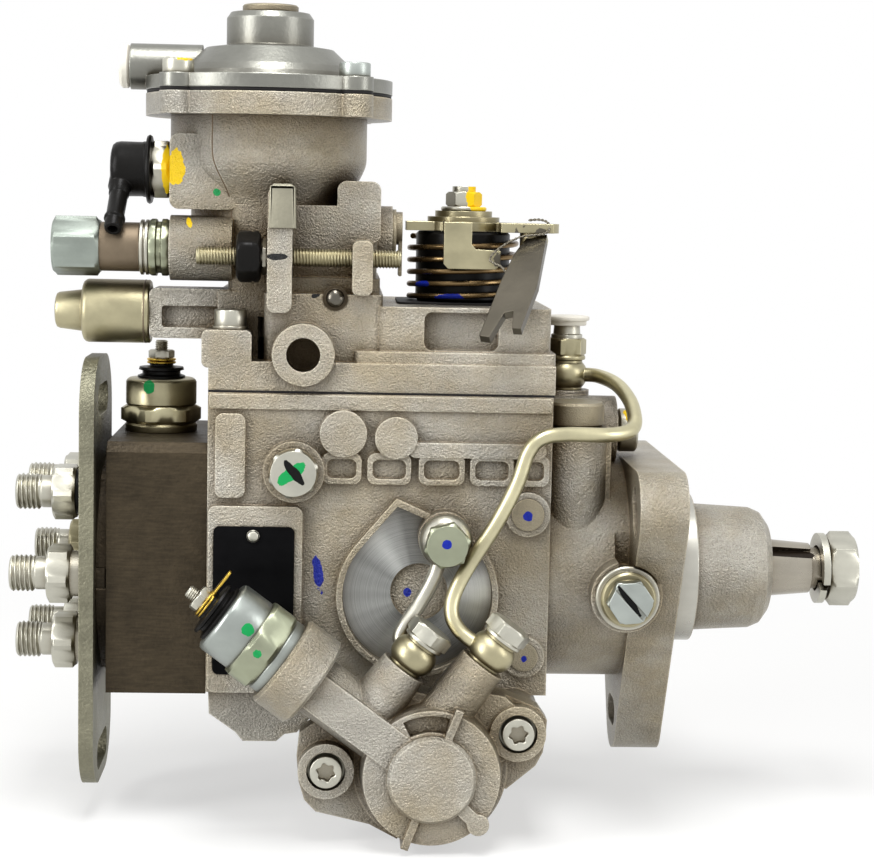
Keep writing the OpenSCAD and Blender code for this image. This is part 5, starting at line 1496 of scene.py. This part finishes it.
@dataclass(frozen=True)
class TimingValve(SubAssembly):
    """The sloping timing solenoid: seat ring, wide hexagon and bright can."""

    spin_deg: float = 9.0
    foot_r: float = 9.0
    seat_r: float = 11.8
    ring_r: float = 12.6
    flats: float = 26.0
    corner_r: float = 14.2
    can_r: float = 12.1

    def pieces(self) -> list[Piece]:
        """The solenoid as one piece.

        Returns:
            The part's pieces.
        """
        piece = Piece("timing_valve", Body.PUMP, Slot.ZINC, "timing_solenoid")
        place = Place.along(TIMING.arm, TIMING.point(0.0, 0.0, TIMING.face), self.spin_deg)
        hexagon_dab = Mark(tuple(TIMING.point(67.0, 0.2, 72.0)), (1.7, 3.0, 1.9), PAINT_GREEN)
        can_dab = Mark(tuple(TIMING.point(73.5, -3.4, 71.0)), (2.0, 4.0, 2.0), PAINT_GREEN)
        seat = bar((self.foot_r, 36.0), (self.foot_r, 51.1), (self.seat_r, 51.1), (self.seat_r, 57.9))
        ring = bar((11.8, 57.5), (self.ring_r, 58.0), (self.ring_r, 61.6), (12.0, 62.4))
        nut = turned([(0.0, 62.2), (12.6, 62.2), (self.corner_r, 63.3), (self.corner_r, 69.8), (12.9, 70.8),
                      (0.0, 70.8)], 48, hexagon(self.flats))
        can = bar((11.9, 70.6), (self.can_r, 71.0), (self.can_r, 80.6), (11.8, 81.4), (11.1, 81.9),
                  (9.8, 82.1), steps=64)
        piece.add(place(seat), ZINC)
        piece.add(place(ring), BLUE_ZINC)
        piece.add(place(nut), GREEN_ZINC.marked("timing_hex_zinc", hexagon_dab))
        piece.add(place(can), BLUE_ZINC.marked("timing_can_zinc", can_dab))
        return [piece]


# The near side: stop screw, elbow, screws and pipes


@dataclass(frozen=True)
class StopScrew(SubAssembly):
    """The full-load stop screw: threaded rod, black nut with grooves, thin nut and its clip."""

    at: Point = (-156.3, -34.0, 103.5)
    rod_r: float = 3.0
    rod_l: float = 64.8
    pitch: float = 1.0
    nut_r: float = 8.2
    nut_flats: float = 14.4
    thin_flats: float = 10.0
    clip_left: float = -133.5
    clip_right: float = -124.8
    clip_top: float = 126.6
    clip_low: float = 112.8
    clip_back_y: float = -30.0
    clip_front_y: float = -41.1

    def black_nut(self) -> Surface:
        """The moulded nut: a grooved round bar cut to a hexagon.

        Returns:
            The nut.
        """
        r = self.nut_r
        rows = [(0.0, 12.7), (6.6, 12.7), (7.5, 13.2), (r, 14.0), (r, 17.2), (7.9, 17.6), (7.9, 18.0),
                (r, 18.3), (r, 19.4), (7.5, 20.0), (6.6, 20.4), (0.0, 20.4)]
        return turned(rows, 48, hexagon(self.nut_flats))

    def clip(self) -> list[Surface]:
        """The spring clip over its lug: a thin bent strip and its front plate.

        Returns:
            The strip and the plate.
        """
        left, right, top, low = self.clip_left, self.clip_right, self.clip_top, self.clip_low
        rim = [(left, low), (left + 0.4, top - 1.2), (left + 1.6, top), (right - 1.6, top),
               (right - 0.4, top - 1.2), (right, low), (right - 0.9, low), (right - 1.3, top - 1.5),
               (left + 1.3, top - 1.5), (left + 0.9, low)]
        front = [(left + 0.6, low), (right - 0.6, low), (right - 0.6, top - 0.6), (left + 0.6, top - 0.6)]
        turn = np.array([[1.0, 0, 0], [0, 0, -1.0], [0, 1.0, 0]])
        return [slab(rim[::-1], 0.0, 12.0, 0.15).moved(turn, (0, self.clip_back_y, 0)),
                slab(front, 0.0, 0.9, 0.2).moved(turn, (0, self.clip_front_y, 0))]

    def pieces(self) -> list[Piece]:
        """The screw with its nuts and clip as one piece.

        Returns:
            The part's pieces.
        """
        piece = Piece("full_load_screw", Body.PUMP, Slot.ZINC, "stop_screw")
        place = Place.along(TO_DRIVE, self.at, 90.0)
        piece.add(place(threaded(self.rod_r, 0.0, self.rod_l, self.pitch, self.pitch / 2)), YELLOW_ZINC)
        piece.add(place(self.black_nut()), BLACK_PLASTIC)
        piece.add(place(hex_bar(self.thin_flats, 20.5, 22.6)), ZINC)
        for surface in self.clip():
            piece.add(surface, CLIP_ZINC)
        return [piece]


@dataclass(frozen=True)
class ReturnElbow(SubAssembly):
    """The fuel return elbow: moulded cup with its collar and hose nipple, on a zinc hexagon."""

    at: Point = (-165.9, -12.0, 130.5)
    flats: float = 18.3
    collar_r: float = 11.2
    cup_r: float = 8.9
    nipple_from_x: float = -15.8
    nipple_lean_deg: float = 44.0
    nipple_turn_deg: float = 184.0
    hose_r: float = 2.9
    barb_r: float = 3.4
    dab: Mark = Mark((-167.0, -21.0, 130.5), (1.6, 6.0, 9.0), PAINT_YELLOW)

    def nipple_place(self) -> Place:
        """The nipple's foot in the cup, leaning down and towards the near side.

        Returns:
            The nipple's place.
        """
        a, b = np.radians(self.nipple_lean_deg), np.radians(self.nipple_turn_deg)
        way = np.array([np.cos(a) * np.sin(b), -np.sin(a), np.cos(a) * np.cos(b)])
        return Place.along(way, np.asarray(self.at) + np.array([self.nipple_from_x, 0, 0]))

    def pieces(self) -> list[Piece]:
        """The elbow with its hexagon as one piece.

        Returns:
            The part's pieces.
        """
        piece = Piece("moulded_return_elbow", Body.PUMP, Slot.MOULDED, "return_elbow")
        place = Place.along(TO_REAR, self.at)
        cup = bar((9.8, 6.2), (10.8, 6.5), (self.collar_r, 7.2), (10.8, 7.9), (9.0, 8.2), (9.0, 9.0),
                  (8.8, 9.6), (self.cup_r, 16.5), (8.6, 18.0), (7.8, 19.0), (6.2, 19.5), (3.0, 19.7),
                  steps=64)
        hose_r, barb_r = self.hose_r, self.barb_r
        nipple = bar((3.9, 3.0), (3.9, 8.5), (3.4, 9.6), (3.3, 11.6), (3.0, 12.0), (hose_r, 20.5),
                     (barb_r, 22.0), (barb_r, 22.6), (hose_r, 23.2), (hose_r, 25.9), (2.6, 26.8), (1.7, 26.9),
                     (1.5, 26.2), (1.5, 24.0))
        piece.add(place(bar((5.0, -0.5), (5.0, 0.6))), ZINC)
        piece.add(place(hex_bar(self.flats, 0.2, 6.1)), ZINC.marked("elbow_nut_zinc", self.dab))
        piece.add(place(cup), BLACK_PLASTIC)
        piece.add(self.nipple_place()(nipple), BLACK_PLASTIC)
        return [piece]


@dataclass(frozen=True)
class CoverFasteners(SubAssembly):
    """Every cover screw, with its washer where it has one, and the flange-side adjusting bolt."""

    boost_x: float = -135.0
    boost_z: float = 161.0
    boost_circle_r: float = 39.5
    boost_spins: tuple[float, ...] = (12.0, 40.0, 5.0, 27.0)
    painted_screw: int = 2
    ledge_at: Point = (-145.5, -31.0, 80.35)
    timing_ears: tuple[Point, ...] = ((26.3, 19.5, 14.0), (-14.4, -26.2, 40.0))
    far_at: Point = (-80.0, 57.15, -55.5)
    far_spread: float = 24.8
    rear_x: float = -192.25
    rear_spread: float = 14.4
    bolt_at: Point = (-17.5, -45.05, -2.5)
    bolt_flats: float = 13.0
    slot_w: float = 2.0
    slot_deg: float = 38.0

    def boost_screws(self, piece: Piece) -> None:
        """Adds the compensator cover's four screws.

        Args:
            piece: The piece that takes them.
        """
        for k, spin in enumerate(self.boost_spins):
            a = np.radians(45.0 + 90.0 * k)
            x = self.boost_x + self.boost_circle_r * np.cos(a)
            y = self.boost_circle_r * np.sin(a)
            dab = Mark((x + 1.5, y - 1.0, self.boost_z + 4.5), (3.6, 4.6, 2.2), PAINT_YELLOW)
            coat = ZINC.marked("painted_cover_screw", dab) if k == self.painted_screw else BLUE_ZINC
            place = Place.along(UP, (x, y, self.boost_z), spin)
            piece.add(place(socket_screw(5.0, 4.3, 2.7, Socket.HEXAGON)), coat)

    def casing_screws(self, piece: Piece) -> None:
        """Adds the screws of the governor cover's ledge, the timing covers and the rear plate.

        Args:
            piece: The piece that takes them.
        """
        ledge = Place.along(UP, self.ledge_at, 10.0)
        piece.add(ledge(bar((5.6, -0.1), (5.7, 0.3), (5.7, 1.0))), ZINC)
        piece.add(ledge(socket_screw(5.2, 6.2, 2.6, Socket.STAR)), ZINC)
        for x, y, spin in self.timing_ears:
            ear = Place.along(NEAR, TIMING.point(x, y, 59.1), spin)
            piece.add(ear(bar((5.9, -0.1), (6.0, 0.2), (6.0, 0.9))), BLUE_ZINC)
            piece.add(ear(socket_screw(5.1, 5.2, 3.0, Socket.STAR)), ZINC)
        for side in (-1, 1):
            far_at = (self.far_at[0] + side * self.far_spread, self.far_at[1], self.far_at[2])
            far = Place.along(FAR, far_at, 9.0 * side)
            piece.add(far(socket_screw(5.0, 5.0, 2.7, Socket.STAR)), ZINC)
            rear = Place.along(TO_REAR, (self.rear_x, 0.0, side * self.rear_spread), 12.0)
            piece.add(rear(socket_screw(4.2, 4.0, 2.2, Socket.HEXAGON)), ZINC)

    def adjusting_bolt(self, piece: Piece) -> None:
        """Adds the bolt beside the flange: washer, collar and slotted hexagon with a black stroke.

        Args:
            piece: The piece that takes it.
        """
        bolt = Place.along(NEAR, self.bolt_at, 5.0)
        stroke = Mark((-18.0, -54.9, -2.0), (6.2, 1.3, 1.2), PAINT_BLACK, -52.0)
        piece.add(bolt(bar((4.0, -8), (4.0, 0.1), (9.9, 0.1), (10.3, 0.5), (10.3, 1.8), (9.9, 2.2))), ZINC)
        piece.add(bolt(bar((8.7, 2.0), (8.9, 2.5), (8.9, 4.4), (8.2, 5.2))), YELLOW_ZINC)
        piece.add(bolt(hex_bar(self.bolt_flats, 5.0, 9.6)), BLUE_ZINC.marked("slotted_bolt_zinc", stroke))
        for half in slotted_face(self.bolt_flats, 9.5, 10.9, self.slot_w, self.slot_deg):
            piece.add(bolt(half), BLUE_ZINC)

    def pieces(self) -> list[Piece]:
        """All the screws as one piece.

        Returns:
            The part's pieces.
        """
        piece = Piece("cover_fasteners", Body.PUMP, Slot.ZINC, "cover_screws")
        self.boost_screws(piece)
        self.casing_screws(piece)
        self.adjusting_bolt(piece)
        return [piece]


@dataclass(frozen=True)
class PipeWork(SubAssembly):
    """The two small pipes with their banjo rings, the banjo bolts, and the overflow bolt with its cap."""

    pipe_r: float = 2.4
    short_boss: Point = (26.6, 21.1)
    long_boss: Point = (7.8, 36.8)
    housing_banjo: Point = (-76.0, -44.0, 15.5)
    overflow_banjo: Point = (-33.6, 7.0, 59.5)
    bolt_flats: float = 13.0
    overflow_flats: float = 12.0
    dab: Mark = Mark((-76.3, -59.5, 16.2), (1.5, 2.0, 1.5), PAINT_BLUE)

    def long_route(self) -> np.ndarray:
        """The supply pipe's centre line, from the overflow banjo down to the timing cover.

        Returns:
            The route's points.
        """
        end = TIMING.banjo_middle(*self.long_boss)
        return smooth_path([(-28, 5, 64.6), (-23, 2, 64.4), (-18, -8, 62.5), (-15.2, -20, 58.5),
                            (-14.6, -29, 54), (-15.6, -34, 51), (-19, -38, 49.6), (-26, -42, 49.2),
                            (-38, -45, 49.6), (-46, -47, 48.5), (-50.5, -48, 44), (-54, -49, 34),
                            (-60, -50, 22), (-69, -52, 8), (-73.5, -54, -1), (-74, -56, -7),
                            end + (-9.8, 2, 5.8), end + (-5, 0, 2.4)], 10)

    def short_route(self) -> np.ndarray:
        """The short pipe's centre line, from the housing's banjo to the timing cover.

        Returns:
            The route's points.
        """
        end = TIMING.banjo_middle(*self.short_boss)
        return smooth_path([(-77.8, -48.8, 10.1), (-79.6, -49.5, 4), (-83.5, -50.5, -3.5),
                            end + (-2.6, 6.6, 8), end + (-4.2, 5.8, 4.2), end + (-2.8, 4.5, 2)], 12)

    def pipes(self) -> Piece:
        """The pipes with their banjo rings.

        Returns:
            The piece.
        """
        piece = Piece("small_pipes", Body.PUMP, Slot.YELLOW_ZINC, "pipes")
        piece.add(tube(self.long_route(), self.pipe_r, 20), PIPE_ZINC)
        piece.add(tube(self.short_route(), self.pipe_r, 20), ZINC)
        piece.add(Place.along(NEAR, self.housing_banjo)(ball_banjo(8.5, 9.6)), ZINC)
        piece.add(Place.along(UP, self.overflow_banjo)(ball_banjo(7.3, 10.0)), YELLOW_ZINC)
        for boss in (self.short_boss, self.long_boss):
            seat = Place.along(-TIMING.across, TIMING.banjo_seat(*boss))
            piece.add(seat(ball_banjo(7.4, 9.6)), YELLOW_ZINC)
        return piece

    def bolts(self) -> Piece:
        """The three banjo bolts' chamfered heads on their washers.

        Returns:
            The piece.
        """
        piece = Piece("banjo_heads", Body.PUMP, Slot.ZINC, "banjo_bolts")
        marked = GREEN_ZINC.marked("central_bolt_zinc", self.dab)
        heads = ((Place.along(-TIMING.across, TIMING.banjo_seat(*self.short_boss), 10.0), ZINC),
                 (Place.along(-TIMING.across, TIMING.banjo_seat(*self.long_boss), 35.0), ZINC),
                 (Place.along(NEAR, self.housing_banjo, 14.0), marked))
        for place, finish in heads:
            piece.add(place(bar((4.0, -6.5), (4.0, 9.5), (6.4, 9.6), (6.6, 9.8), (6.6, 10.6))), ZINC)
            piece.add(place(hex_bar(self.bolt_flats, 10.5, 15.4)), finish)
        return piece

    def overflow(self) -> Piece:
        """The overflow fitting's bolt with its flat transit cap.

        Returns:
            The piece.
        """
        piece = Piece("overflow_bolt", Body.PUMP, Slot.ZINC, "overflow_fitting")
        place = Place.along(UP, self.overflow_banjo, 8.0)
        shank = bar((4.0, -7), (4.0, 10.1), (6.4, 10.2), (6.5, 10.5), (6.5, 11.2), (6.2, 11.6))
        neck = bar((5.3, 17.2), (5.3, 18.6), (4.6, 18.9), (4.4, 21.6), (5.2, 21.9))
        cap = bar((6.4, 21.8), (6.6, 22.2), (6.6, 23.2), (7.4, 23.5), (7.6, 24.0), (7.5, 24.7), (7.0, 25.0))
        piece.add(place(shank), YELLOW_ZINC)
        piece.add(place(hex_bar(self.overflow_flats, 11.5, 17.4)), YELLOW_ZINC)
        piece.add(place(neck), ZINC)
        piece.add(place(cap), WHITE_CAP)
        return piece

    def pieces(self) -> list[Piece]:
        """Pipes, banjo bolts and overflow bolt."""
        return [self.pipes(), self.bolts(), self.overflow()]


# The drive end and the throttle


@dataclass(frozen=True)
class DriveNut(SubAssembly):
    """The shaft's nut with its chamfers and thread end, and the split spring washer."""

    nut_x: float = 56.5
    flats: float = 22.0
    spin_deg: float = 20.0
    washer_x: float = 52.95
    washer_in: float = 7.8
    washer_out: float = 12.0
    washer_h: float = 2.3
    washer_rise: float = 0.9
    washer_turns: float = 0.97

    def nut(self) -> Surface:
        """The nut: a chamfered bar with sunk faces, cut to a hexagon.

        Returns:
            The nut.
        """
        corner = self.flats / np.sqrt(3.0)
        rows = [(0.0, 1.0), (7.4, 1.0), (7.8, 0.0), (10.6, 0.0), (10.9, 0.2), (corner, 1.6), (corner, 8.2),
                (10.9, 9.4), (10.5, 9.5), (7.8, 9.5), (7.4, 9.0), (7.3, 8.4), (0.0, 8.4)]
        return turned(rows, 48, hexagon(self.flats))

    def washer(self) -> Surface:
        """The washer: a rectangle carried along a helix of almost one turn.

        Returns:
            The washer.
        """
        route = helix(1.0, self.washer_rise, self.washer_turns, -60.0, 60)
        inner = route * (self.washer_in, self.washer_in, 1)
        outer = route * (self.washer_out, self.washer_out, 1)
        lift = (0.0, 0.0, self.washer_h)
        rings = np.stack([inner, outer, outer + lift, inner + lift], axis=1)
        last = (len(route) - 1) * 4
        faces = grid_faces(len(route), 4, True).tolist()
        faces += [[3, 2, 1, 0], [last, last + 1, last + 2, last + 3]]
        return Surface(rings.reshape(-1, 3), faces)

    def pieces(self) -> list[Piece]:
        """Nut and washer as one piece.

        Returns:
            The part's pieces.
        """
        piece = Piece("drive_nut", Body.DRIVE_LINE, Slot.ZINC, "shaft_nut")
        piece.add(Place.along(TO_DRIVE, (self.nut_x, 0, 0), self.spin_deg)(self.nut()), ZINC)
        piece.add(Place.along(TO_DRIVE, (self.washer_x, 0, 0))(self.washer()), ZINC)
        return [piece]


@dataclass(frozen=True)
class SealWire(SubAssembly):
    """The twisted seal wire that hangs from the throttle lever's plate."""

    route: tuple[Point, ...] = (
        (-50.0, -20.5, 116.6), (-46.5, -21.0, 116.9), (-43.9, -22.5, 116.0), (-43.6, -24.2, 113.6),
        (-46.0, -25.0, 112.2), (-53.0, -25.4, 111.2), (-59.5, -25.2, 107.6), (-62.6, -25.6, 103.8),
        (-59.0, -28.6, 101.6), (-57.0, -30.6, 98.6), (-55.4, -31.6, 95.4), (-53.2, -31.0, 96.2),
        (-54.6, -30.6, 98.2))
    twist: float = 2.6
    strand_off: float = 0.24
    strand_r: float = 0.22

    def pieces(self) -> list[Piece]:
        """Two strands that turn around the route, half a turn apart.

        Returns:
            The part's pieces.
        """
        piece = Piece("seal_wire", Body.THROTTLE, Slot.BARE)
        route = smooth_path(self.route, 10)
        along = np.gradient(route, axis=0)
        along /= np.linalg.norm(along, axis=1, keepdims=True)
        side = np.cross(along, (0.3, 0.2, 1.0))
        side /= np.linalg.norm(side, axis=1, keepdims=True)
        up = np.cross(along, side)
        run = np.concatenate([[0.0], np.cumsum(np.linalg.norm(np.diff(route, axis=0), axis=1))])
        for phase in (0.0, np.pi):
            a = run * TAU / self.twist + phase
            strand = route + self.strand_off * (np.cos(a)[:, None] * side + np.sin(a)[:, None] * up)
            piece.add(tube(strand, self.strand_r, 8), DARK_WIRE)
        return [piece]


@dataclass(frozen=True)
class ReturnSpring(SubAssembly):
    """The throttle's return spring: a helix of round wire, its radius and pitch constant."""

    foot: Point = (-70.0, 0.0, 90.4)
    coil_r: float = 17.7
    wire_r: float = 0.95
    pitch: float = 4.0
    turns: float = 5.0
    start_deg: float = 250.0

    def pieces(self) -> list[Piece]:
        """The spring.

        Returns:
            The part's pieces.
        """
        piece = Piece("return_spring", Body.PUMP, Slot.SPRING, "throttle_spring")
        coil = tube(helix(self.coil_r, self.pitch, self.turns, self.start_deg, 48), self.wire_r, 10)
        piece.add(Place.along(UP, self.foot)(coil), NODE_FINISH["throttle_spring"])
        return [piece]


@dataclass(frozen=True)
class CoilSpring(SubAssembly):
    """A coil spring with copies around the X axis; its joint, way, fixed end and the share it keeps go into
    the piece's squash.
    """

    name: str
    joint: str
    fixed: Point
    way: Point
    coil_r: float
    wire_r: float
    length: float
    turns: float
    travel: float
    replaces: tuple[str, ...] = ()
    copies: int = 1

    def pieces(self) -> list[Piece]:
        """The helix from its fixed end: the height follows the angle evenly.

        Returns:
            The part's pieces.
        """
        piece = Piece(self.name, Body.PUMP, Slot.SPRING, *self.replaces)
        route = helix(self.coil_r, (self.length - 2 * self.wire_r) / self.turns, self.turns, 0.0, 28)
        coil = Place.along(self.way, self.fixed)(tube(route + (0, 0, self.wire_r), self.wire_r, 8))
        for i in range(self.copies):
            a = TAU * i / self.copies
            turn = np.array([[1, 0, 0], [0, np.cos(a), -np.sin(a)], [0, np.sin(a), np.cos(a)]])
            piece.add(coil.moved(turn, (0, 0, 0)), SPRING)
        piece.squash = Squash(self.joint, self.way, self.fixed, 1.0 - self.travel / self.length)
        return [piece]


SPRINGS = (
    CoilSpring("boost_return_spring", "boost_rod_slide", (-135.0, 0.0, 122.2), UP, coil_r=12.25, wire_r=1.15,
               length=30.0, turns=5, travel=4.0, replaces=("boost_spring",)),
    CoilSpring("delivery_springs", "delivery_lift", (-190.35, -28.5, 0.0), TO_DRIVE, coil_r=3.25, wire_r=0.5,
               length=9.7, turns=4, travel=2.05, replaces=("valve_springs",), copies=6),
    CoilSpring("shutoff_spring", "shutoff_slide", (-170.0, 0.0, 52.35), (0, 0, -1), coil_r=2.85, wire_r=0.5,
               length=8.1, turns=4, travel=2.05),
    CoilSpring("timing_return_spring", "timing_slide", (-80.0, 59.2, -55.5), NEAR, coil_r=7.1, wire_r=1.0,
               length=38.7, turns=7, travel=10.05, replaces=("timing_spring",)),
)


# Skins and small pieces on the castings


@dataclass(frozen=True)
class PlateRivet(SubAssembly):
    """The black plate's domed rivet."""

    at: Point = (-137.1, -41.05, 15.0)
    radius: float = 2.1

    def pieces(self) -> list[Piece]:
        """The rivet.

        Returns:
            The part's pieces.
        """
        piece = Piece("plate_rivet", Body.PUMP, Slot.ZINC)
        dome = bar((self.radius - 0.2, -0.1), (self.radius, 0.1), (2.0, 0.5), (1.5, 0.9), (0.8, 1.1),
                   (0.3, 1.15))
        piece.add(Place.along(NEAR, self.at)(dome), ZINC)
        return [piece]


@dataclass(frozen=True)
class NearPlug(SubAssembly):
    """The near side's hexagon plug with its strokes of paint, and the ball pressed into the cover."""

    plug_at: Point = (-124.5, -43.4, 35.8)
    flats: float = 14.4
    corner_r: float = 8.05
    ball_at: Point = (-112.2, -35.2, 90.9)
    ball_r: float = 3.0
    ball_rise: float = 2.2
    green_stroke: Mark = Mark((-125.0, -46.5, 36.0), (6.0, 3.0, 2.1), PAINT_GREEN, 37.0)
    black_stroke: Mark = Mark((-124.3, -46.5, 36.2), (5.2, 3.0, 1.5), PAINT_BLACK, -50.0)

    def pieces(self) -> list[Piece]:
        """Plug and ball as one piece; the ball is an ellipse turned around its axis.

        Returns:
            The part's pieces.
        """
        piece = Piece("near_plug", Body.PUMP, Slot.ZINC)
        paint = ZINC.marked("painted_plug", self.green_stroke, self.black_stroke)
        rows = [(0.0, -0.2), (7.2, -0.2), (self.corner_r, 0.4), (self.corner_r, 2.3), (7.2, 3.0), (0.0, 3.1)]
        piece.add(Place.along(NEAR, self.plug_at, 18.0)(turned(rows, 96, hexagon(self.flats))), paint)
        ball = Place.along(NEAR, self.ball_at)
        t = np.linspace(0.0, np.pi / 2, 9)[:-1]
        dome = np.column_stack([self.ball_r * np.cos(t), self.ball_rise * np.sin(t)]).tolist()
        piece.add(ball(bar((4.0, -0.6), (4.0, 0.12), (3.2, 0.15))), DARK_IRON)
        piece.add(ball(bar(*dome, (0.05, self.ball_rise))), BALL_STEEL)
        return [piece]


@dataclass(frozen=True)
class RecessFloor(SubAssembly):
    """The machined floor of the near side's pointed recess, around its round pocket."""

    pocket: Point = (-83.8, -3.0)
    pocket_r: float = 9.25
    ring: Point = (-84.4, -4.0)
    ring_r: float = 24.0
    corners: tuple[Point, ...] = ((-102.6, 11.6), (-91.3, 25.1), (-74.9, 18.0))
    floor_y: float = -37.05
    thickness: float = 0.04
    rays: int = 180

    def reach(self, way: np.ndarray) -> np.ndarray:
        """How far each ray runs from the pocket's centre to the recess's wall.

        The wall is the farther of a circle and the two straight walls that meet in the point.

        Args:
            way: The rays' directions, one in each row.

        Returns:
            The rays' lengths.
        """
        centre = np.array(self.pocket)
        off = centre - np.array(self.ring)
        along = way @ off
        far = -along + np.sqrt(along**2 - off @ off + self.ring_r**2)
        corners = np.array(self.corners)
        for a, b in zip(corners[:-1], corners[1:]):
            side, gap = b - a, a - centre
            cross = way[:, 0] * side[1] - way[:, 1] * side[0]
            wall = (gap[0] * side[1] - gap[1] * side[0]) / cross
            share = (gap[0] * way[:, 1] - gap[1] * way[:, 0]) / cross
            met = (share >= 0) & (share <= 1) & (wall > 0)
            far = np.where(met, np.maximum(far, wall), far)
        return far

    def pieces(self) -> list[Piece]:
        """The floor with its back face.

        Returns:
            The part's pieces.
        """
        piece = Piece("recess_floor", Body.PUMP, Slot.MACHINED)
        t = np.linspace(0, TAU, self.rays + 1)[:-1]
        way = np.column_stack([np.cos(t), np.sin(t)])
        rings = np.linspace(0, 1, 5)[:, None, None]
        reach = self.pocket_r + (self.reach(way)[:, None] - self.pocket_r) * rings
        flat = np.array(self.pocket) + way * reach
        points = np.stack([flat[..., 0], np.full(flat.shape[:2], self.floor_y), flat[..., 1]], axis=-1)
        sheet = Surface(points.reshape(-1, 3), grid_faces(5, self.rays, True).tolist())
        back = Surface(sheet.points + (0, self.thickness, 0), [row[::-1] for row in sheet.faces])
        piece.add(sheet, SWIRLED)
        piece.add(back, SWIRLED)
        return [piece]


@dataclass(frozen=True)
class PilotBand(SubAssembly):
    """The turned skin of the pilot between the flange and the hub."""

    radius: float = 25.03
    bore_r: float = 21.4
    length: float = 9.04

    def pieces(self) -> list[Piece]:
        """The band.

        Returns:
            The part's pieces.
        """
        piece = Piece("pilot_band", Body.PUMP, Slot.MACHINED)
        r, bore_r = self.radius, self.bore_r
        rows = [(bore_r, 0.05), (r - 0.02, 0.05), (r, 0.3), (r, 8.7), (r - 0.23, self.length - 0.02),
                (bore_r + 0.2, self.length), (bore_r, 8.9)]
        piece.add(Place.along(TO_DRIVE, (0, 0, 0))(bar(*rows, steps=120)), TURNED)
        return [piece]


@dataclass(frozen=True)
class BowlSkin(SubAssembly):
    """The smooth outer skin of the compensator's bowl with its parting line."""

    centre_x: float = -135.0
    top: float = 148.25
    bend: float = 135.2
    neck_z: float = 118.0
    foot: float = 104.0
    bowl_r: float = 32.35
    neck_r: float = 25.5
    line_deg: float = -123.0
    line_r: float = 0.22
    green_dot: Mark = Mark((-150.7, -27.0, 123.6), (1.5, 8.0, 1.5), PAINT_GREEN)
    yellow_dab: Mark = Mark((-163.8, -20.0, 131.0), (2.9, 16.0, 5.9), PAINT_YELLOW)

    def radius(self, z: np.ndarray) -> np.ndarray:
        """The skin's radius: a smooth step of the height, from the bowl to the neck."""
        t = np.clip((self.bend - z) / (self.bend - self.neck_z), 0, 1)
        return self.bowl_r - (self.bowl_r - self.neck_r) * t * t * (3 - 2 * t)

    def parting_line(self) -> Surface:
        """The line: a thin wire on the skin whose angle drifts with the height and waves a little.

        Returns:
            The line.
        """
        height = np.linspace(self.top - 0.3, 108.0, 40)
        angle = np.radians(self.line_deg + 1.2 * np.sin(height * 0.22) + (self.top - height) * 0.22)
        reach = self.radius(height) + 0.02
        line = np.column_stack([self.centre_x + reach * np.cos(angle), reach * np.sin(angle), height])
        return tube(line, self.line_r, 8)

    def pieces(self) -> list[Piece]:
        """Skin and line as one piece.

        Returns:
            The part's pieces.
        """
        piece = Piece("bowl_skin", Body.PUMP, Slot.CAST)
        z = np.concatenate([[self.top], np.linspace(self.bend, self.neck_z, 24),
                            np.linspace(self.neck_z - 1, self.foot, 6)])
        rows = np.column_stack([self.radius(z), z])[::-1]
        cast = CAST.marked("bowl_skin_cast", self.green_dot, self.yellow_dab)
        piece.add(Place.along(UP, (self.centre_x, 0, 0))(bar(*rows.tolist(), steps=120)), cast)
        piece.add(self.parting_line(), PARTING)
        return [piece]


@dataclass(frozen=True)
class TimingStep(SubAssembly):
    """The stepped band on the timing cover, between its shoulder and its upper rib."""

    inner_r: float = 14.2
    outer_r: float = 21.6
    from_deg: float = -72.0
    to_deg: float = -24.0
    low: float = 62.0
    high: float = 67.8

    def pieces(self) -> list[Piece]:
        """The step: a ring sector raised as a plate.

        Returns:
            The part's pieces.
        """
        piece = Piece("timing_step", Body.PUMP, Slot.CAST)
        t = np.radians(np.linspace(self.from_deg, self.to_deg, 25))
        arc = np.column_stack([np.cos(t), np.sin(t)])
        rim = np.vstack([self.outer_r * arc, self.inner_r * arc[::-1]])
        frame = np.column_stack([TIMING.arm, TIMING.across, NEAR])
        piece.add(slab(rim, self.low, self.high, 0.3).moved(frame, TIMING.at), CAST)
        return [piece]


SUB_ASSEMBLIES: tuple[SubAssembly, ...] = (
    DeliveryOutlets(), FuelUnion(), ColdStartCylinder(), ShutoffValve(), TimingValve(), StopScrew(),
    ReturnElbow(), CoverFasteners(), PipeWork(), DriveNut(), SealWire(), PlateRivet(), NearPlug(),
    RecessFloor(), PilotBand(), BowlSkin(), TimingStep(), ReturnSpring(), *SPRINGS,
)


def main() -> None:
    """Builds the studio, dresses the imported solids, and adds every sub-assembly in order."""
    logging.basicConfig(level=logging.INFO, format="%(name)s: %(message)s")
    bpy.context.scene.view_settings.view_transform = "Standard"
    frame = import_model()
    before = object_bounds()
    Studio().build(float(before[0][2]) - FLOOR_GAP)
    LOG.info("PumpBody: dressed %d packed nodes", PumpBody(frame).dress())
    for part in SUB_ASSEMBLIES:
        for piece in part.pieces():
            made = piece.build()
            LOG.info("%s: %s, %d faces", type(part).__name__, made.name, len(made.data.polygons))


if __name__ == "__main__":
    main()
